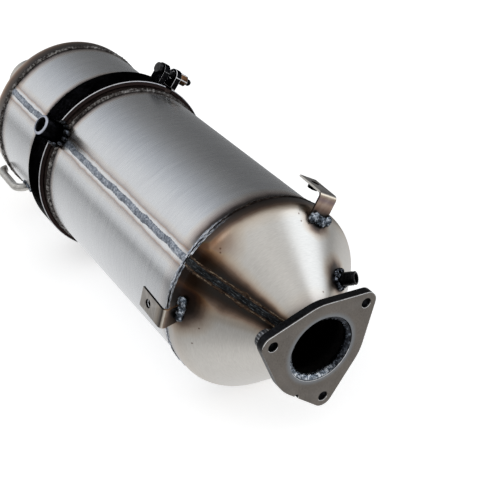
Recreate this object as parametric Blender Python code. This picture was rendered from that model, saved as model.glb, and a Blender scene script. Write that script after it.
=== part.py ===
"""Diesel particulate filter: an oxidation catalyst can clamped to a filter can, with a three-bolt outlet.

Metres. +X runs along the can axis and out of the outlet, +Z is up.
The origin is the centre of the outlet flange's face, on the can axis.
"""

import math

import bmesh
import bpy
from mathutils import Matrix, Vector

# General sizes
FIT = 0.0003            # gap that touching pieces keep
WALL = 0.0015           # sheet of the cans and cones
CAN_RADIUS = 0.1015     # outside of both cans
ROUND_SIDES = 40        # facets round a can
INNER_SIDES = 32        # facets round what the cans hold
SMALL_SIDES = 24        # facets round a small boss

# Outlet flange: a three-bolt plate, straight from each round corner to a short arc about the bore
PLATE_THICK = 0.0095
BOLT_CIRCLE = 0.0598    # radius of the circle through the bolt holes
BOLT_HOLE = 0.00525     # radius
HOLE_CHAMFER = 0.0009
BORE_RADIUS = 0.0351
CORNER_RADIUS = 0.0115
SIDE_MIDDLE = 0.0505    # from the axis to the middle of a side
FULL_SIDE_MIDDLE = 0.0528
PLATE_TURN = math.radians(34.2)
PLATE_EDGE = 0.0008
NOTCH_RADIUS = 0.0028
NOTCH_TURN = math.radians(-120.0)

# Outlet cone: a pressed shell that slips over the can
CONE_REACH = 0.109      # from the outlet face back to the cone's lip
SKIRT = 0.0182          # from the lip to the corner that the shoulder rounds
NECK_CORNER_AT = 0.0186  # from the outlet face to the corner that the neck's fillet rounds
SHOULDER_RADIUS = 0.016
NECK_FILLET = 0.010
NECK_RADIUS = BORE_RADIUS - FIT
FLANK_RUN = CONE_REACH - SKIRT - NECK_CORNER_AT
HALF_ANGLE = math.atan((CAN_RADIUS + FIT + WALL - NECK_RADIUS) / FLANK_RUN)
NECK_RECESS = 0.004     # the neck ends this far inside the flange bore
LAP = 0.009             # length of can inside the cone's skirt

# Cans and the joint between them, measured back from the outlet face
JOINT_AT = 0.4233       # middle of the joint
FILTER_WELD_AT = 0.3955  # where the joint ring's weld meets the filter can
FRONT_LIP_AT = 0.552    # lip of the inlet cone on the front can
GASKET_THICK = 0.0015
RING_HUB = 0.0025       # thickness of the joint ring's hub
BEAD = 0.0040           # width of a ring weld
BEAD_HEIGHT = 0.0024

# V clamp and its bolt
CLAMP_STAND = 0.0081    # the band's outside above the can
CLAMP_RADIUS = CAN_RADIUS + CLAMP_STAND
CLAMP_HALF = 0.01585    # half the width of its flat band
CLAMP_WALL = 0.0014
LEG_LIFT = 0.0007       # the leg's tip above the joint ring's hub
LEG_DROP = CLAMP_STAND - FIT - RING_HUB - LEG_LIFT
LEG_RUN = LEG_DROP / 2
CLAMP_TURN = math.radians(53.0)
CLAMP_OPENING = 0.010   # gap between the band's ends
LUG_WIDTH = 0.020
LUG_THICK = 0.008
LUG_SPREAD = 0.0095     # from the bolt's middle to a lug's middle
LUG_RISE = 0.0225
BOLT_RISE = 0.0145      # bolt axis above the band
BOLT_RADIUS = 0.004
BOLT_HEAD_RADIUS = 0.0065
BOLT_HEAD_HIGH = 0.005
NUT_ACROSS = 0.013
NUT_LENGTH = 0.012
BOLT_END = 0.0080        # thread past the nut

# Weld seams along the cans and the cone
SEAM_TURN = math.radians(140.5)
SEAM_WIDTH = 0.0080
SEAM_HEIGHT = 0.0010
CONE_SEAM_TURN = math.radians(139.6)
CONE_SEAM_WIDTH = 0.0120
CONE_SEAM_HEIGHT = 0.0017

# Sensor bung on the joint ring, and pressure port on the cone
BUNG_AT = 0.4005
BUNG_TURN = math.radians(138.9)
BUNG_STAND = 0.0237     # its open end above the clamp band
BUNG_REACH = CLAMP_RADIUS + BUNG_STAND
BUNG_ROOT = 0.004       # its foot's blank below the can's outside, before it is trimmed
BUNG_COLLAR = 0.0025    # top of its weld above the clamp band
BUNG_EDGE = 0.001
BUNG_RADIUS = 0.0118
BUNG_BORE = 0.0079
BUNG_WELD = 0.0034      # width of the weld round its foot
SENSOR_HOLE = 0.0050
PORT_FROM_LIP = 0.0628
PORT_AT = CONE_REACH - PORT_FROM_LIP
PORT_TURN = math.radians(30.5)
PORT_LEAN = math.radians(47.0)
PORT_RADIUS = 0.0069
PORT_BORE = 0.0045
PORT_LENGTH = 0.0176
PORT_INSIDE = 0.003
PORT_EDGE = 0.001

# Angle brackets welded to the cone
STRIP_WIDTH = 0.021
STRIP_THICK = 0.002
STRIP_BEND = 0.004
TAB_STAND = 0.0197      # the tab's middle above the can
TAB_LEVEL = CAN_RADIUS + TAB_STAND
TAB_LENGTH = 0.0405
TAB_HOLE = 0.00425
TAB_HOLE_AT = 0.0135    # from the tab's tip
UPPER_TURN = math.radians(58.7)
UPPER_ROOT_AT = CONE_REACH - 0.0269
UPPER_BEND_AT = CONE_REACH - 0.0266
LOWER_TURN = math.radians(167.5)
LOWER_ROOT_AT = CONE_REACH - 0.0161
LOWER_BEND_AT = CONE_REACH - 0.0226
BRACKET_SKEW = math.radians(-5.0)
UPPER_WELD = (0.0045, 0.0062, 0.0)     # the foot weld's run along the cone, its rise up the leg, its shift sideways
LOWER_WELD = (0.0088, 0.0032, 0.0065)
CLIP_NUT = 0.0048       # half the width of a clip nut across its flats
CLIP_NUT_BORE = 0.0033
CLIP_NUT_HIGH = 0.0038

# Hanger hook on the front can
ROD_RADIUS = 0.0049
HOOK_LEVEL = -0.040     # height of the hook's plane
HOOK_ROOT_AT = 0.4945
HOOK_STAND = 0.0148     # from the can to the middle of the straight run
HOOK_RUN = 0.057
HOOK_CURL = 0.0085

# Inner pieces
MAT_THICK = 0.0047
FILTER_LENGTH = 0.254
FILTER_GAP = 0.013      # from the filter can's rear edge to the filter
CATALYST_LENGTH = 0.076
CATALYST_GAP = 0.018    # from the joint to the catalyst
RETAINER_LENGTH = 0.008
RETAINER_LIP = 0.006

# Inlet pipe
PIPE_LENGTH = 0.070
PIPE_IN = 0.025


def clear_scene():
    for obj in list(bpy.data.objects):
        bpy.data.objects.remove(obj, do_unlink=True)


def finish(bm, name, colour, roughness, metallic, matrix=None):
    """Turns the bmesh into a named object with its own material."""
    bmesh.ops.remove_doubles(bm, verts=bm.verts, dist=1e-6)
    bmesh.ops.recalc_face_normals(bm, faces=bm.faces)
    mesh = bpy.data.meshes.new(name)
    bm.to_mesh(mesh)
    bm.free()
    mesh.shade_smooth()
    mesh.set_sharp_from_angle(angle=math.radians(32))
    obj = bpy.data.objects.new(name, mesh)
    bpy.context.scene.collection.objects.link(obj)
    if matrix is not None:
        obj.matrix_world = matrix
    surface = bpy.data.materials.new(name)
    surface.use_nodes = True
    shader = surface.node_tree.nodes["Principled BSDF"]
    shader.inputs["Base Color"].default_value = (*colour, 1.0)
    shader.inputs["Roughness"].default_value = roughness
    shader.inputs["Metallic"].default_value = metallic
    mesh.materials.append(surface)
    return obj


def as_cutter(obj):
    obj.hide_render = True
    obj.display_type = "WIRE"
    return obj


def cut(obj, cutter):
    boolean = obj.modifiers.new("Cut " + cutter.name, "BOOLEAN")
    boolean.operation = "DIFFERENCE"
    boolean.solver = "EXACT"
    boolean.object = cutter


def turned(profile, sides, closed=True):
    """Spins an (x, radius) outline about X. A closed outline makes a ring, an open one a solid bar."""
    bm = bmesh.new()
    points = [bm.verts.new((x, radius, 0)) for x, radius in profile]
    edges = [bm.edges.new(pair) for pair in zip(points, points[1:])]
    if closed:
        edges.append(bm.edges.new((points[-1], points[0])))
    bmesh.ops.spin(
        bm, geom=points + edges, cent=(0, 0, 0), axis=(1, 0, 0), angle=math.tau, steps=sides, use_merge=True
    )
    if not closed:
        bmesh.ops.remove_doubles(bm, verts=bm.verts, dist=1e-6)
        bmesh.ops.holes_fill(bm, edges=bm.edges, sides=0)
    return bm


def prism(outline, low, high):
    """Extrudes a closed outline of (x, z) points along Y."""
    bm = bmesh.new()
    face = bm.faces.new([bm.verts.new((x, low, z)) for x, z in outline])
    grown = bmesh.ops.extrude_face_region(bm, geom=[face])["geom"]
    moved = [v for v in grown if isinstance(v, bmesh.types.BMVert)]
    bmesh.ops.translate(bm, verts=moved, vec=(0, high - low, 0))
    return bm


def loft(sections):
    """Joins equal closed sections one after another and caps the ends."""
    bm = bmesh.new()
    rings = [[bm.verts.new(p) for p in section] for section in sections]
    count = len(rings[0])
    for one, two in zip(rings, rings[1:]):
        for i in range(count):
            j = (i + 1) % count
            bm.faces.new((one[i], one[j], two[j], two[i]))
    bm.faces.new(list(reversed(rings[0])))
    bm.faces.new(rings[-1])
    return bm


def arc(centre, radius, start, end, steps):
    step = (end - start) / steps
    cx, cy = centre
    angles = [start + step * i for i in range(steps + 1)]
    return [(cx + radius * math.cos(a), cy + radius * math.sin(a)) for a in angles]


def thicken(path, thick):
    """The closed outline of a strip of this thickness along a planar path."""
    left, right = [], []
    for i, point in enumerate(path):
        before = path[max(i - 1, 0)]
        after = path[min(i + 1, len(path) - 1)]
        way = Vector((after[0] - before[0], after[1] - before[1])).normalized()
        side = Vector((-way.y, way.x)) * thick / 2
        left.append((point[0] + side.x, point[1] + side.y))
        right.append((point[0] - side.x, point[1] - side.y))
    return left + right[::-1]


def rounded(corner, before, after, radius, steps):
    """Points of the arc that rounds the corner between two straight runs."""
    corner, before, after = Vector(corner), Vector(before), Vector(after)
    one = (before - corner).normalized()
    two = (after - corner).normalized()
    half = one.angle(two) / 2
    reach = radius / math.tan(half)
    centre = corner + (one + two).normalized() * radius / math.sin(half)
    first = corner + one * reach - centre
    last = corner + two * reach - centre
    turn = first.angle_signed(last)
    points = []
    for i in range(steps + 1):
        a = -turn * i / steps
        c, s = math.cos(a), math.sin(a)
        points.append((centre.x + first.x * c - first.y * s, centre.y + first.x * s + first.y * c))
    return points


def facing(x, turn, radius=0.0, lean=0.0, skew=0.0):
    """A frame at this place round the axis: local Z points outward, leaned towards +X, local X along the axis."""
    frame = Matrix.Translation((x, 0, 0)) @ Matrix.Rotation(turn - math.pi / 2, 4, "X")
    frame = frame @ Matrix.Translation((0, 0, radius))
    return frame @ Matrix.Rotation(lean, 4, "Y") @ Matrix.Rotation(skew, 4, "Z")


def upright(bm):
    """Stands a shape that was turned about X up along Z."""
    bmesh.ops.rotate(bm, verts=bm.verts, cent=(0, 0, 0), matrix=Matrix.Rotation(-math.pi / 2, 3, "Y"))
    return bm


def cone_outline(inset):
    """The cone's outline from its lip to its neck, as (distance from the lip, radius), inset from the outside."""
    skirt = CAN_RADIUS + FIT + WALL - inset
    neck = NECK_RADIUS - inset
    slope = math.tan(HALF_ANGLE)
    corner = SKIRT - inset * (1 / math.cos(HALF_ANGLE) - 1) / slope
    bottom = corner + (skirt - neck) / slope
    end = CONE_REACH - NECK_RECESS
    top = rounded((corner, skirt), (0, skirt), (bottom, neck), SHOULDER_RADIUS - inset, 5)
    low = rounded((bottom, neck), (corner, skirt), (end, neck), NECK_FILLET + inset, 2)
    return [(0.0, skirt)] + top + low + [(end, neck)]


def cone_radius(distance):
    """Outside radius of the cone at this distance from its lip."""
    outline = cone_outline(0.0)
    for (x0, r0), (x1, r1) in zip(outline, outline[1:]):
        if distance <= x1:
            return r0 + (r1 - r0) * (distance - x0) / (x1 - x0)
    return outline[-1][1]


def bead_strip(path, turn, width, height):
    """A low weld bead along (x, radius) points of a round surface, FIT above it."""
    sections = []
    for x, radius in path:
        section = []
        for share, rise in ((-0.5, 0), (-0.28, 0.85), (0, 1), (0.28, 0.85), (0.5, 0), (0, 0)):
            a = turn + width * share / radius
            r = radius + FIT + height * rise
            section.append((x, r * math.cos(a), r * math.sin(a)))
        sections.append(section)
    return loft(sections)


def ring_bead(x, radius, way):
    """A ring weld on a cylinder of this radius. It starts at x and runs BEAD wide towards way."""
    foot = radius + FIT
    top = foot + BEAD_HEIGHT
    return turned(
        [
            (x, foot),
            (x, top - 0.0004),
            (x + way * BEAD * 0.3, top),
            (x + way * BEAD * 0.75, foot + BEAD_HEIGHT * 0.6),
            (x + way * BEAD, foot),
        ],
        ROUND_SIDES,
    )


def flange_outline():
    """Three round corners about the bolt holes. A tangent line runs from each to an arc about the bore."""
    middles = (SIDE_MIDDLE, FULL_SIDE_MIDDLE, SIDE_MIDDLE)
    swings = [math.acos((middle - CORNER_RADIUS) / BOLT_CIRCLE) for middle in middles]
    points = []
    for i in range(3):
        at = PLATE_TURN + math.tau * i / 3
        hole = Vector((math.cos(at), math.sin(at))) * BOLT_CIRCLE
        points += arc(hole, CORNER_RADIUS, at - swings[i - 1], at + swings[i], 8)
        points += arc((0, 0), middles[i], at + swings[i], at + math.tau / 3 - swings[i], 4)
    return points


def hex_outline(across):
    return arc((0, 0), across / 2 / math.cos(math.pi / 6), 0, math.tau - math.tau / 6, 5)


def hexagon(across, bore, low, high):
    """A hexagonal nut along Z with a round hole."""
    bm = bmesh.new()
    rings = []
    for z in (low, high):
        outer = [bm.verts.new((x, y, z)) for x, y in hex_outline(across)]
        rings.append([bm.edges.new((outer[i], outer[(i + 1) % 6])) for i in range(6)])
        inner = [bm.verts.new((x, y, z)) for x, y in arc((0, 0), bore, 0, math.tau * 23 / 24, 23)]
        rings.append([bm.edges.new((inner[i], inner[(i + 1) % 24])) for i in range(24)])
    outer_low, inner_low, outer_high, inner_high = rings
    bmesh.ops.bridge_loops(bm, edges=outer_low + outer_high)
    bmesh.ops.bridge_loops(bm, edges=inner_low + inner_high)
    bmesh.ops.triangle_fill(bm, use_beauty=True, edges=outer_low + inner_low)
    bmesh.ops.triangle_fill(bm, use_beauty=True, edges=outer_high + inner_high)
    return bm


clear_scene()

LIP = -CONE_REACH
CAN_REAR = LIP + LAP
JOINT = -JOINT_AT
FRONT_LIP = -FRONT_LIP_AT
CAN_FRONT = JOINT + GASKET_THICK / 2 + FIT
FRONT_CAN_REAR = JOINT - GASKET_THICK / 2 - FIT
SKIRT_RADIUS = CAN_RADIUS + FIT + WALL

# Outlet cone
outside = [(LIP + d, r) for d, r in cone_outline(0.0)]
inside = [(LIP + d, r) for d, r in cone_outline(WALL)]
outlet_cone = finish(turned(outside + inside[::-1], ROUND_SIDES), "outlet_cone", (0.50, 0.46, 0.42), 0.33, 1.0)

# Solid envelopes, a gap larger than the cone and the can, that trim what stands on them
grown = [(LIP + d, r) for d, r in cone_outline(-FIT)]
cone_envelope = as_cutter(finish(turned(grown, ROUND_SIDES, closed=False), "cone_envelope", (1, 1, 1), 0.5, 0.0))
bar = [(FRONT_LIP, CAN_RADIUS + FIT), (LIP, CAN_RADIUS + FIT)]
can_envelope = as_cutter(finish(turned(bar, ROUND_SIDES, closed=False), "can_envelope", (1, 1, 1), 0.5, 0.0))

# Weld seam down the cone
seam_path = [(x, r) for x, r in outside if x < -PLATE_THICK - 0.006]
seam_path = [(LIP + 0.0006, SKIRT_RADIUS)] + seam_path[1:]
seam_path.append((-PLATE_THICK - 0.004, NECK_RADIUS))
cone_seam = bead_strip(seam_path, CONE_SEAM_TURN, CONE_SEAM_WIDTH, CONE_SEAM_HEIGHT)
finish(cone_seam, "outlet_cone_seam", (0.07, 0.07, 0.075), 0.5, 0.9)

# Filter can
tube = [
    (CAN_FRONT, CAN_RADIUS),
    (CAN_REAR, CAN_RADIUS),
    (CAN_REAR, CAN_RADIUS - WALL),
    (CAN_FRONT, CAN_RADIUS - WALL),
]
filter_can = finish(turned(tube, ROUND_SIDES), "filter_can", (0.62, 0.62, 0.62), 0.28, 1.0)
finish(ring_bead(LIP - FIT, CAN_RADIUS, -1), "can_cone_weld", (0.22, 0.23, 0.26), 0.4, 0.9)
weld_top = -FILTER_WELD_AT
seam_start = -BUNG_AT + BUNG_RADIUS + BUNG_WELD + FIT
run = [(seam_start, CAN_RADIUS), (LIP - BEAD - 0.001, CAN_RADIUS)]
finish(bead_strip(run, SEAM_TURN, SEAM_WIDTH, SEAM_HEIGHT), "filter_can_seam", (0.30, 0.33, 0.38), 0.42, 0.9)

# V clamp section: a flat band with a leg sloping in at each side
leg = Vector((LEG_RUN, -LEG_DROP)).normalized()
inward = Vector((leg.y, -leg.x))


def clamp_side(depth):
    """Corner and leg tip of the clamp's section this far in from its outside, for the side towards +X."""
    on_leg = Vector((CLAMP_HALF, CLAMP_RADIUS)) + inward * depth
    along = (on_leg.y - (CLAMP_RADIUS - depth)) / -leg.y
    corner = on_leg + leg * along
    tip = Vector((CLAMP_HALF + LEG_RUN, CLAMP_RADIUS - LEG_DROP)) + inward * depth
    return corner, tip


def joint_ring(way):
    """Half of the joint: a hub on the can, and a flange whose sloped flank the clamp's leg draws in."""
    corner, _ = clamp_side(CLAMP_WALL + FIT)
    bore = CAN_RADIUS + FIT
    hub = bore + RING_HUB
    flank = (corner.y - hub) / -leg.y
    face = GASKET_THICK / 2 + FIT
    end = JOINT_AT - FILTER_WELD_AT - BEAD - FIT
    outline = [
        (face, bore),
        (face, corner.y),
        (corner.x, corner.y),
        (corner.x + leg.x * flank, hub),
        (end, hub),
        (end, bore),
    ]
    return turned([(JOINT + way * s, r) for s, r in outline], ROUND_SIDES)


filter_ring = finish(joint_ring(1), "filter_joint_ring", (0.16, 0.13, 0.12), 0.45, 0.9)
finish(joint_ring(-1), "front_joint_ring", (0.16, 0.13, 0.12), 0.45, 0.9)
filter_ring_weld = finish(
    ring_bead(weld_top - BEAD, CAN_RADIUS, 1), "filter_joint_weld", (0.16, 0.17, 0.18), 0.5, 0.9
)
front_weld_at = 2 * JOINT - weld_top + BEAD
finish(ring_bead(front_weld_at, CAN_RADIUS, -1), "front_joint_weld", (0.16, 0.17, 0.18), 0.5, 0.9)
gasket = [
    (JOINT - GASKET_THICK / 2, CAN_RADIUS - WALL),
    (JOINT + GASKET_THICK / 2, CAN_RADIUS - WALL),
    (JOINT + GASKET_THICK / 2, clamp_side(CLAMP_WALL)[0].y - 0.001),
    (JOINT - GASKET_THICK / 2, clamp_side(CLAMP_WALL)[0].y - 0.001),
]
finish(turned(gasket, INNER_SIDES), "joint_gasket", (0.25, 0.25, 0.26), 0.6, 0.6)

corner, tip = clamp_side(0.0)
inner_corner, inner_tip = clamp_side(CLAMP_WALL)
right = [(corner.x, corner.y), (tip.x, tip.y), (inner_tip.x, inner_tip.y), (inner_corner.x, inner_corner.y)]
left = [(-x, r) for x, r in right[::-1]]
section = [(JOINT + x, r) for x, r in right + left]
band = finish(turned(section, ROUND_SIDES), "clamp_band", (0.02, 0.02, 0.022), 0.38, 0.6)
half = CLAMP_HALF + 2 * LEG_RUN
gap_outline = [(-half, -3 * LEG_DROP), (half, -3 * LEG_DROP), (half, LEG_DROP), (-half, LEG_DROP)]
gap_shape = prism(gap_outline, -CLAMP_OPENING / 2, CLAMP_OPENING / 2)
gap_place = facing(JOINT, CLAMP_TURN, CLAMP_RADIUS)
cut(band, as_cutter(finish(gap_shape, "clamp_gap", (1, 1, 1), 0.5, 0.0, gap_place)))

# Clamp bolt: a lug on each end of the band, a bolt through both, and a deep nut
bolt_frame = facing(JOINT, CLAMP_TURN, CLAMP_RADIUS + BOLT_RISE) @ Matrix.Rotation(-math.pi / 2, 4, "X")
over = [(JOINT - LUG_WIDTH, CLAMP_RADIUS + FIT), (JOINT + LUG_WIDTH, CLAMP_RADIUS + FIT)]
clamp_envelope = as_cutter(
    finish(turned(over, 3 * ROUND_SIDES, closed=False), "clamp_envelope", (1, 1, 1), 0.5, 0.0)
)
lug_span = 2 * (LUG_SPREAD + LUG_THICK)
hole = turned([(-lug_span, BOLT_RADIUS + FIT), (lug_span, BOLT_RADIUS + FIT)], SMALL_SIDES, closed=False)
bolt_cutter = as_cutter(finish(upright(hole), "bolt_cutter", (1, 1, 1), 0.5, 0.0, bolt_frame))
for name, way in (("clamp_lug_far", -1), ("clamp_lug_near", 1)):
    low = -BOLT_RISE - LUG_THICK / 2
    high = LUG_RISE - BOLT_RISE
    outline = [(-LUG_WIDTH / 2, low), (LUG_WIDTH / 2, low), (LUG_WIDTH / 2, 0)]
    outline += arc((0, high - LUG_WIDTH / 2), LUG_WIDTH / 2, 0.25, math.pi - 0.25, 8)
    outline += [(-LUG_WIDTH / 2, 0)]
    middle = way * LUG_SPREAD
    lug = finish(
        prism(outline, middle - LUG_THICK / 2, middle + LUG_THICK / 2),
        name,
        (0.02, 0.02, 0.022),
        0.4,
        0.6,
        facing(JOINT, CLAMP_TURN, CLAMP_RADIUS + BOLT_RISE),
    )
    cut(lug, clamp_envelope)
    cut(lug, bolt_cutter)
head = LUG_SPREAD + LUG_THICK / 2 + FIT
shank = [
    (-head - BOLT_HEAD_HIGH, BOLT_HEAD_RADIUS),
    (-head, BOLT_HEAD_RADIUS),
    (-head, BOLT_RADIUS),
    (head + NUT_LENGTH + BOLT_END, BOLT_RADIUS),
]
finish(upright(turned(shank, SMALL_SIDES, closed=False)), "clamp_bolt", (0.03, 0.03, 0.03), 0.4, 0.8, bolt_frame)
finish(
    hexagon(NUT_ACROSS, BOLT_RADIUS + FIT, head, head + NUT_LENGTH),
    "clamp_nut",
    (0.33, 0.24, 0.16),
    0.35,
    0.9,
    bolt_frame,
)

# Sensor bung on the joint ring, and the hole it opens into
bung_frame = facing(-BUNG_AT, BUNG_TURN)
foot = CAN_RADIUS - BUNG_ROOT
bung_profile = [
    (foot, BUNG_BORE),
    (foot, BUNG_RADIUS),
    (BUNG_REACH - BUNG_EDGE, BUNG_RADIUS),
    (BUNG_REACH, BUNG_RADIUS - BUNG_EDGE),
    (BUNG_REACH, BUNG_BORE + BUNG_EDGE),
    (BUNG_REACH - BUNG_EDGE, BUNG_BORE),
]
bung = finish(
    upright(turned(bung_profile, SMALL_SIDES)), "sensor_bung", (0.03, 0.03, 0.032), 0.4, 0.7, bung_frame
)
collar = CLAMP_RADIUS + BUNG_COLLAR
fillet = [
    (foot, BUNG_RADIUS + FIT),
    (foot, BUNG_RADIUS + BUNG_WELD),
    (collar - BUNG_ROOT, BUNG_RADIUS + BUNG_WELD * 0.76),
    (collar, BUNG_RADIUS + 2 * FIT),
    (collar, BUNG_RADIUS + FIT),
]
bung_weld = finish(
    upright(turned(fillet, SMALL_SIDES)), "sensor_bung_weld", (0.06, 0.06, 0.065), 0.5, 0.8, bung_frame
)
tip_at = JOINT + CLAMP_HALF + LEG_RUN
below = CAN_RADIUS - 3 * BUNG_ROOT
seat = [
    (JOINT, below),
    (JOINT, CLAMP_RADIUS + FIT),
    (JOINT + CLAMP_HALF + FIT, CLAMP_RADIUS + FIT),
    (tip_at + FIT, CLAMP_RADIUS - LEG_DROP),
    (tip_at + FIT, CAN_RADIUS + FIT + RING_HUB + FIT),
    (weld_top - BEAD, CAN_RADIUS + FIT + RING_HUB + FIT),
    (weld_top - BEAD * 0.5, CAN_RADIUS + BEAD_HEIGHT + 2 * FIT),
    (weld_top + FIT, CAN_RADIUS + 2 * FIT),
    (LIP, CAN_RADIUS + 2 * FIT),
    (LIP, below),
]
bung_seat = as_cutter(finish(turned(seat, ROUND_SIDES), "bung_seat", (1, 1, 1), 0.5, 0.0))
cut(bung, bung_seat)
cut(bung_weld, bung_seat)
drill = turned([(below, SENSOR_HOLE), (BUNG_REACH, SENSOR_HOLE)], SMALL_SIDES, closed=False)
sensor_drill = as_cutter(finish(upright(drill), "sensor_drill", (1, 1, 1), 0.5, 0.0, bung_frame))
for piece in (filter_can, filter_ring, filter_ring_weld):
    cut(piece, sensor_drill)

# Pressure port through the cone wall
port_frame = facing(-PORT_AT, PORT_TURN, cone_radius(CONE_REACH - PORT_AT), PORT_LEAN)
port_profile = [
    (-PORT_INSIDE, PORT_BORE),
    (-PORT_INSIDE, PORT_RADIUS),
    (PORT_LENGTH - PORT_EDGE, PORT_RADIUS),
    (PORT_LENGTH, PORT_RADIUS - PORT_EDGE),
    (PORT_LENGTH, PORT_BORE + PORT_EDGE * 0.6),
    (PORT_LENGTH - PORT_EDGE * 0.6, PORT_BORE),
]
finish(
    upright(turned(port_profile, SMALL_SIDES)), "pressure_port", (0.02, 0.02, 0.022), 0.35, 0.7, port_frame
)
clear_bar = [(-4 * PORT_INSIDE, PORT_RADIUS + FIT), (1.2 * PORT_LENGTH, PORT_RADIUS + FIT)]
port_drill = as_cutter(
    finish(upright(turned(clear_bar, SMALL_SIDES, closed=False)), "port_drill", (1, 1, 1), 0.5, 0.0, port_frame)
)
cut(outlet_cone, port_drill)
port_collar = [
    (-0.004, PORT_RADIUS + FIT),
    (-0.004, PORT_RADIUS + 0.0048),
    (0.0012, PORT_RADIUS + 0.0046),
    (0.0038, PORT_RADIUS + 0.0022),
    (0.0046, PORT_RADIUS + FIT),
]
port_weld = finish(
    upright(turned(port_collar, SMALL_SIDES)), "pressure_port_weld", (0.10, 0.11, 0.13), 0.45, 0.85, port_frame
)
cut(port_weld, cone_envelope)


def bracket(prefix, turn, root_at, bend_at, foot_weld):
    """An angle bracket on the cone: a leg, a tab that runs back over the can, its weld and its clip nut."""
    frame = facing(-bend_at, turn, 0.0, 0.0, BRACKET_SKEW)
    surface = cone_radius(CONE_REACH - root_at)
    way = Vector((root_at - bend_at, TAB_LEVEL - surface)).normalized()
    root = (-way.x * (TAB_LEVEL - surface + 0.006) / way.y, surface - 0.006)
    end = (-TAB_LENGTH, TAB_LEVEL + 0.0008)
    path = [root] + rounded((0, TAB_LEVEL), root, end, STRIP_BEND, 5) + [end]
    strip = prism(thicken(path, STRIP_THICK), -STRIP_WIDTH / 2, STRIP_WIDTH / 2)
    strip = finish(strip, prefix + "_bracket", (0.42, 0.38, 0.35), 0.34, 1.0, frame)
    cut(strip, cone_envelope)
    hole_at = Matrix.Translation((-TAB_LENGTH + TAB_HOLE_AT, 0, TAB_LEVEL))
    punch = turned([(-0.008, TAB_HOLE), (0.008, TAB_HOLE)], SMALL_SIDES, closed=False)
    punch = finish(upright(punch), prefix + "_punch", (1, 1, 1), 0.5, 0.0, frame @ hole_at)
    cut(strip, as_cutter(punch))
    under = -STRIP_THICK / 2 - FIT
    nut = hexagon(2 * CLIP_NUT, CLIP_NUT_BORE, under - CLIP_NUT_HIGH, under)
    finish(nut, prefix + "_bracket_nut", (0.03, 0.03, 0.03), 0.45, 0.7, frame @ hole_at)

    def beside(level):
        """A point on the leg's outer side, a gap off it, at this distance from the axis."""
        along = (level - TAB_LEVEL) / way.y
        return way.x * along + way.y * (STRIP_THICK / 2 + FIT)

    run, rise, shift = foot_weld
    low, high = surface - 0.012, surface + rise
    outline = [
        (beside(low), low),
        (beside(low) + run, low),
        (beside(surface) + run * 0.85, surface - 0.001),
        (beside(high) + run * 0.35, high - 0.0008),
        (beside(high), high),
    ]
    weld = prism(outline, -STRIP_WIDTH * 0.54 + shift, STRIP_WIDTH * 0.54 + shift)
    weld = finish(weld, prefix + "_bracket_weld", (0.20, 0.21, 0.23), 0.42, 0.9, frame)
    cut(weld, cone_envelope)


bracket("upper", UPPER_TURN, UPPER_ROOT_AT, UPPER_BEND_AT, UPPER_WELD)
bracket("lower", LOWER_TURN, LOWER_ROOT_AT, LOWER_BEND_AT, LOWER_WELD)

# Outlet flange
plate = bmesh.new()
plate_face = plate.faces.new([plate.verts.new((0, y, z)) for y, z in flange_outline()])
grown_plate = bmesh.ops.extrude_face_region(plate, geom=[plate_face])["geom"]
back = [v for v in grown_plate if isinstance(v, bmesh.types.BMVert)]
bmesh.ops.translate(plate, verts=back, vec=(-PLATE_THICK, 0, 0))
flange = finish(plate, "outlet_flange", (0.20, 0.19, 0.18), 0.42, 0.95)
edge = flange.modifiers.new("Edge", "BEVEL")
edge.width = PLATE_EDGE
edge.segments = 1
edge.limit_method = "ANGLE"
edge.angle_limit = math.radians(60)


def through_cutter(name, radius, chamfer, y, z, sides):
    """A drill along X with a chamfer at both faces of the plate."""
    profile = [
        (-PLATE_THICK - 0.004, radius + chamfer + 0.004),
        (-PLATE_THICK + chamfer, radius),
        (-chamfer, radius),
        (0.004, radius + chamfer + 0.004),
    ]
    drill_shape = turned(profile, sides, closed=False)
    return as_cutter(finish(drill_shape, name, (1, 1, 1), 0.5, 0.0, Matrix.Translation((0, y, z))))


cut(flange, through_cutter("bore_drill", BORE_RADIUS, 0.0004, 0, 0, ROUND_SIDES))
for i in range(3):
    turn = PLATE_TURN + math.tau * i / 3
    y, z = BOLT_CIRCLE * math.cos(turn), BOLT_CIRCLE * math.sin(turn)
    cut(flange, through_cutter("bolt_drill_" + str(i), BOLT_HOLE, HOLE_CHAMFER, y, z, SMALL_SIDES))
reach = FULL_SIDE_MIDDLE + NOTCH_RADIUS * 0.2
notch = turned([(-PLATE_THICK - 0.005, NOTCH_RADIUS), (0.005, NOTCH_RADIUS)], 12, closed=False)
notch_place = Matrix.Translation((0, reach * math.cos(NOTCH_TURN), reach * math.sin(NOTCH_TURN)))
cut(flange, as_cutter(finish(notch, "notch_cutter", (1, 1, 1), 0.5, 0.0, notch_place)))

# Weld that joins the neck's end to the flange bore
neck_end = -NECK_RECESS + FIT
throat = NECK_RADIUS - WALL
finish(
    turned(
        [
            (neck_end, NECK_RADIUS),
            (neck_end + 0.0016, NECK_RADIUS - 0.0006),
            (neck_end + 0.0010, throat - 0.0016),
            (neck_end - 0.0040, throat - 0.0018),
            (neck_end - 0.0052, throat - FIT),
            (neck_end, throat - FIT),
        ],
        ROUND_SIDES,
    ),
    "outlet_flange_weld",
    (0.26, 0.29, 0.33),
    0.35,
    0.95,
)

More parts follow.
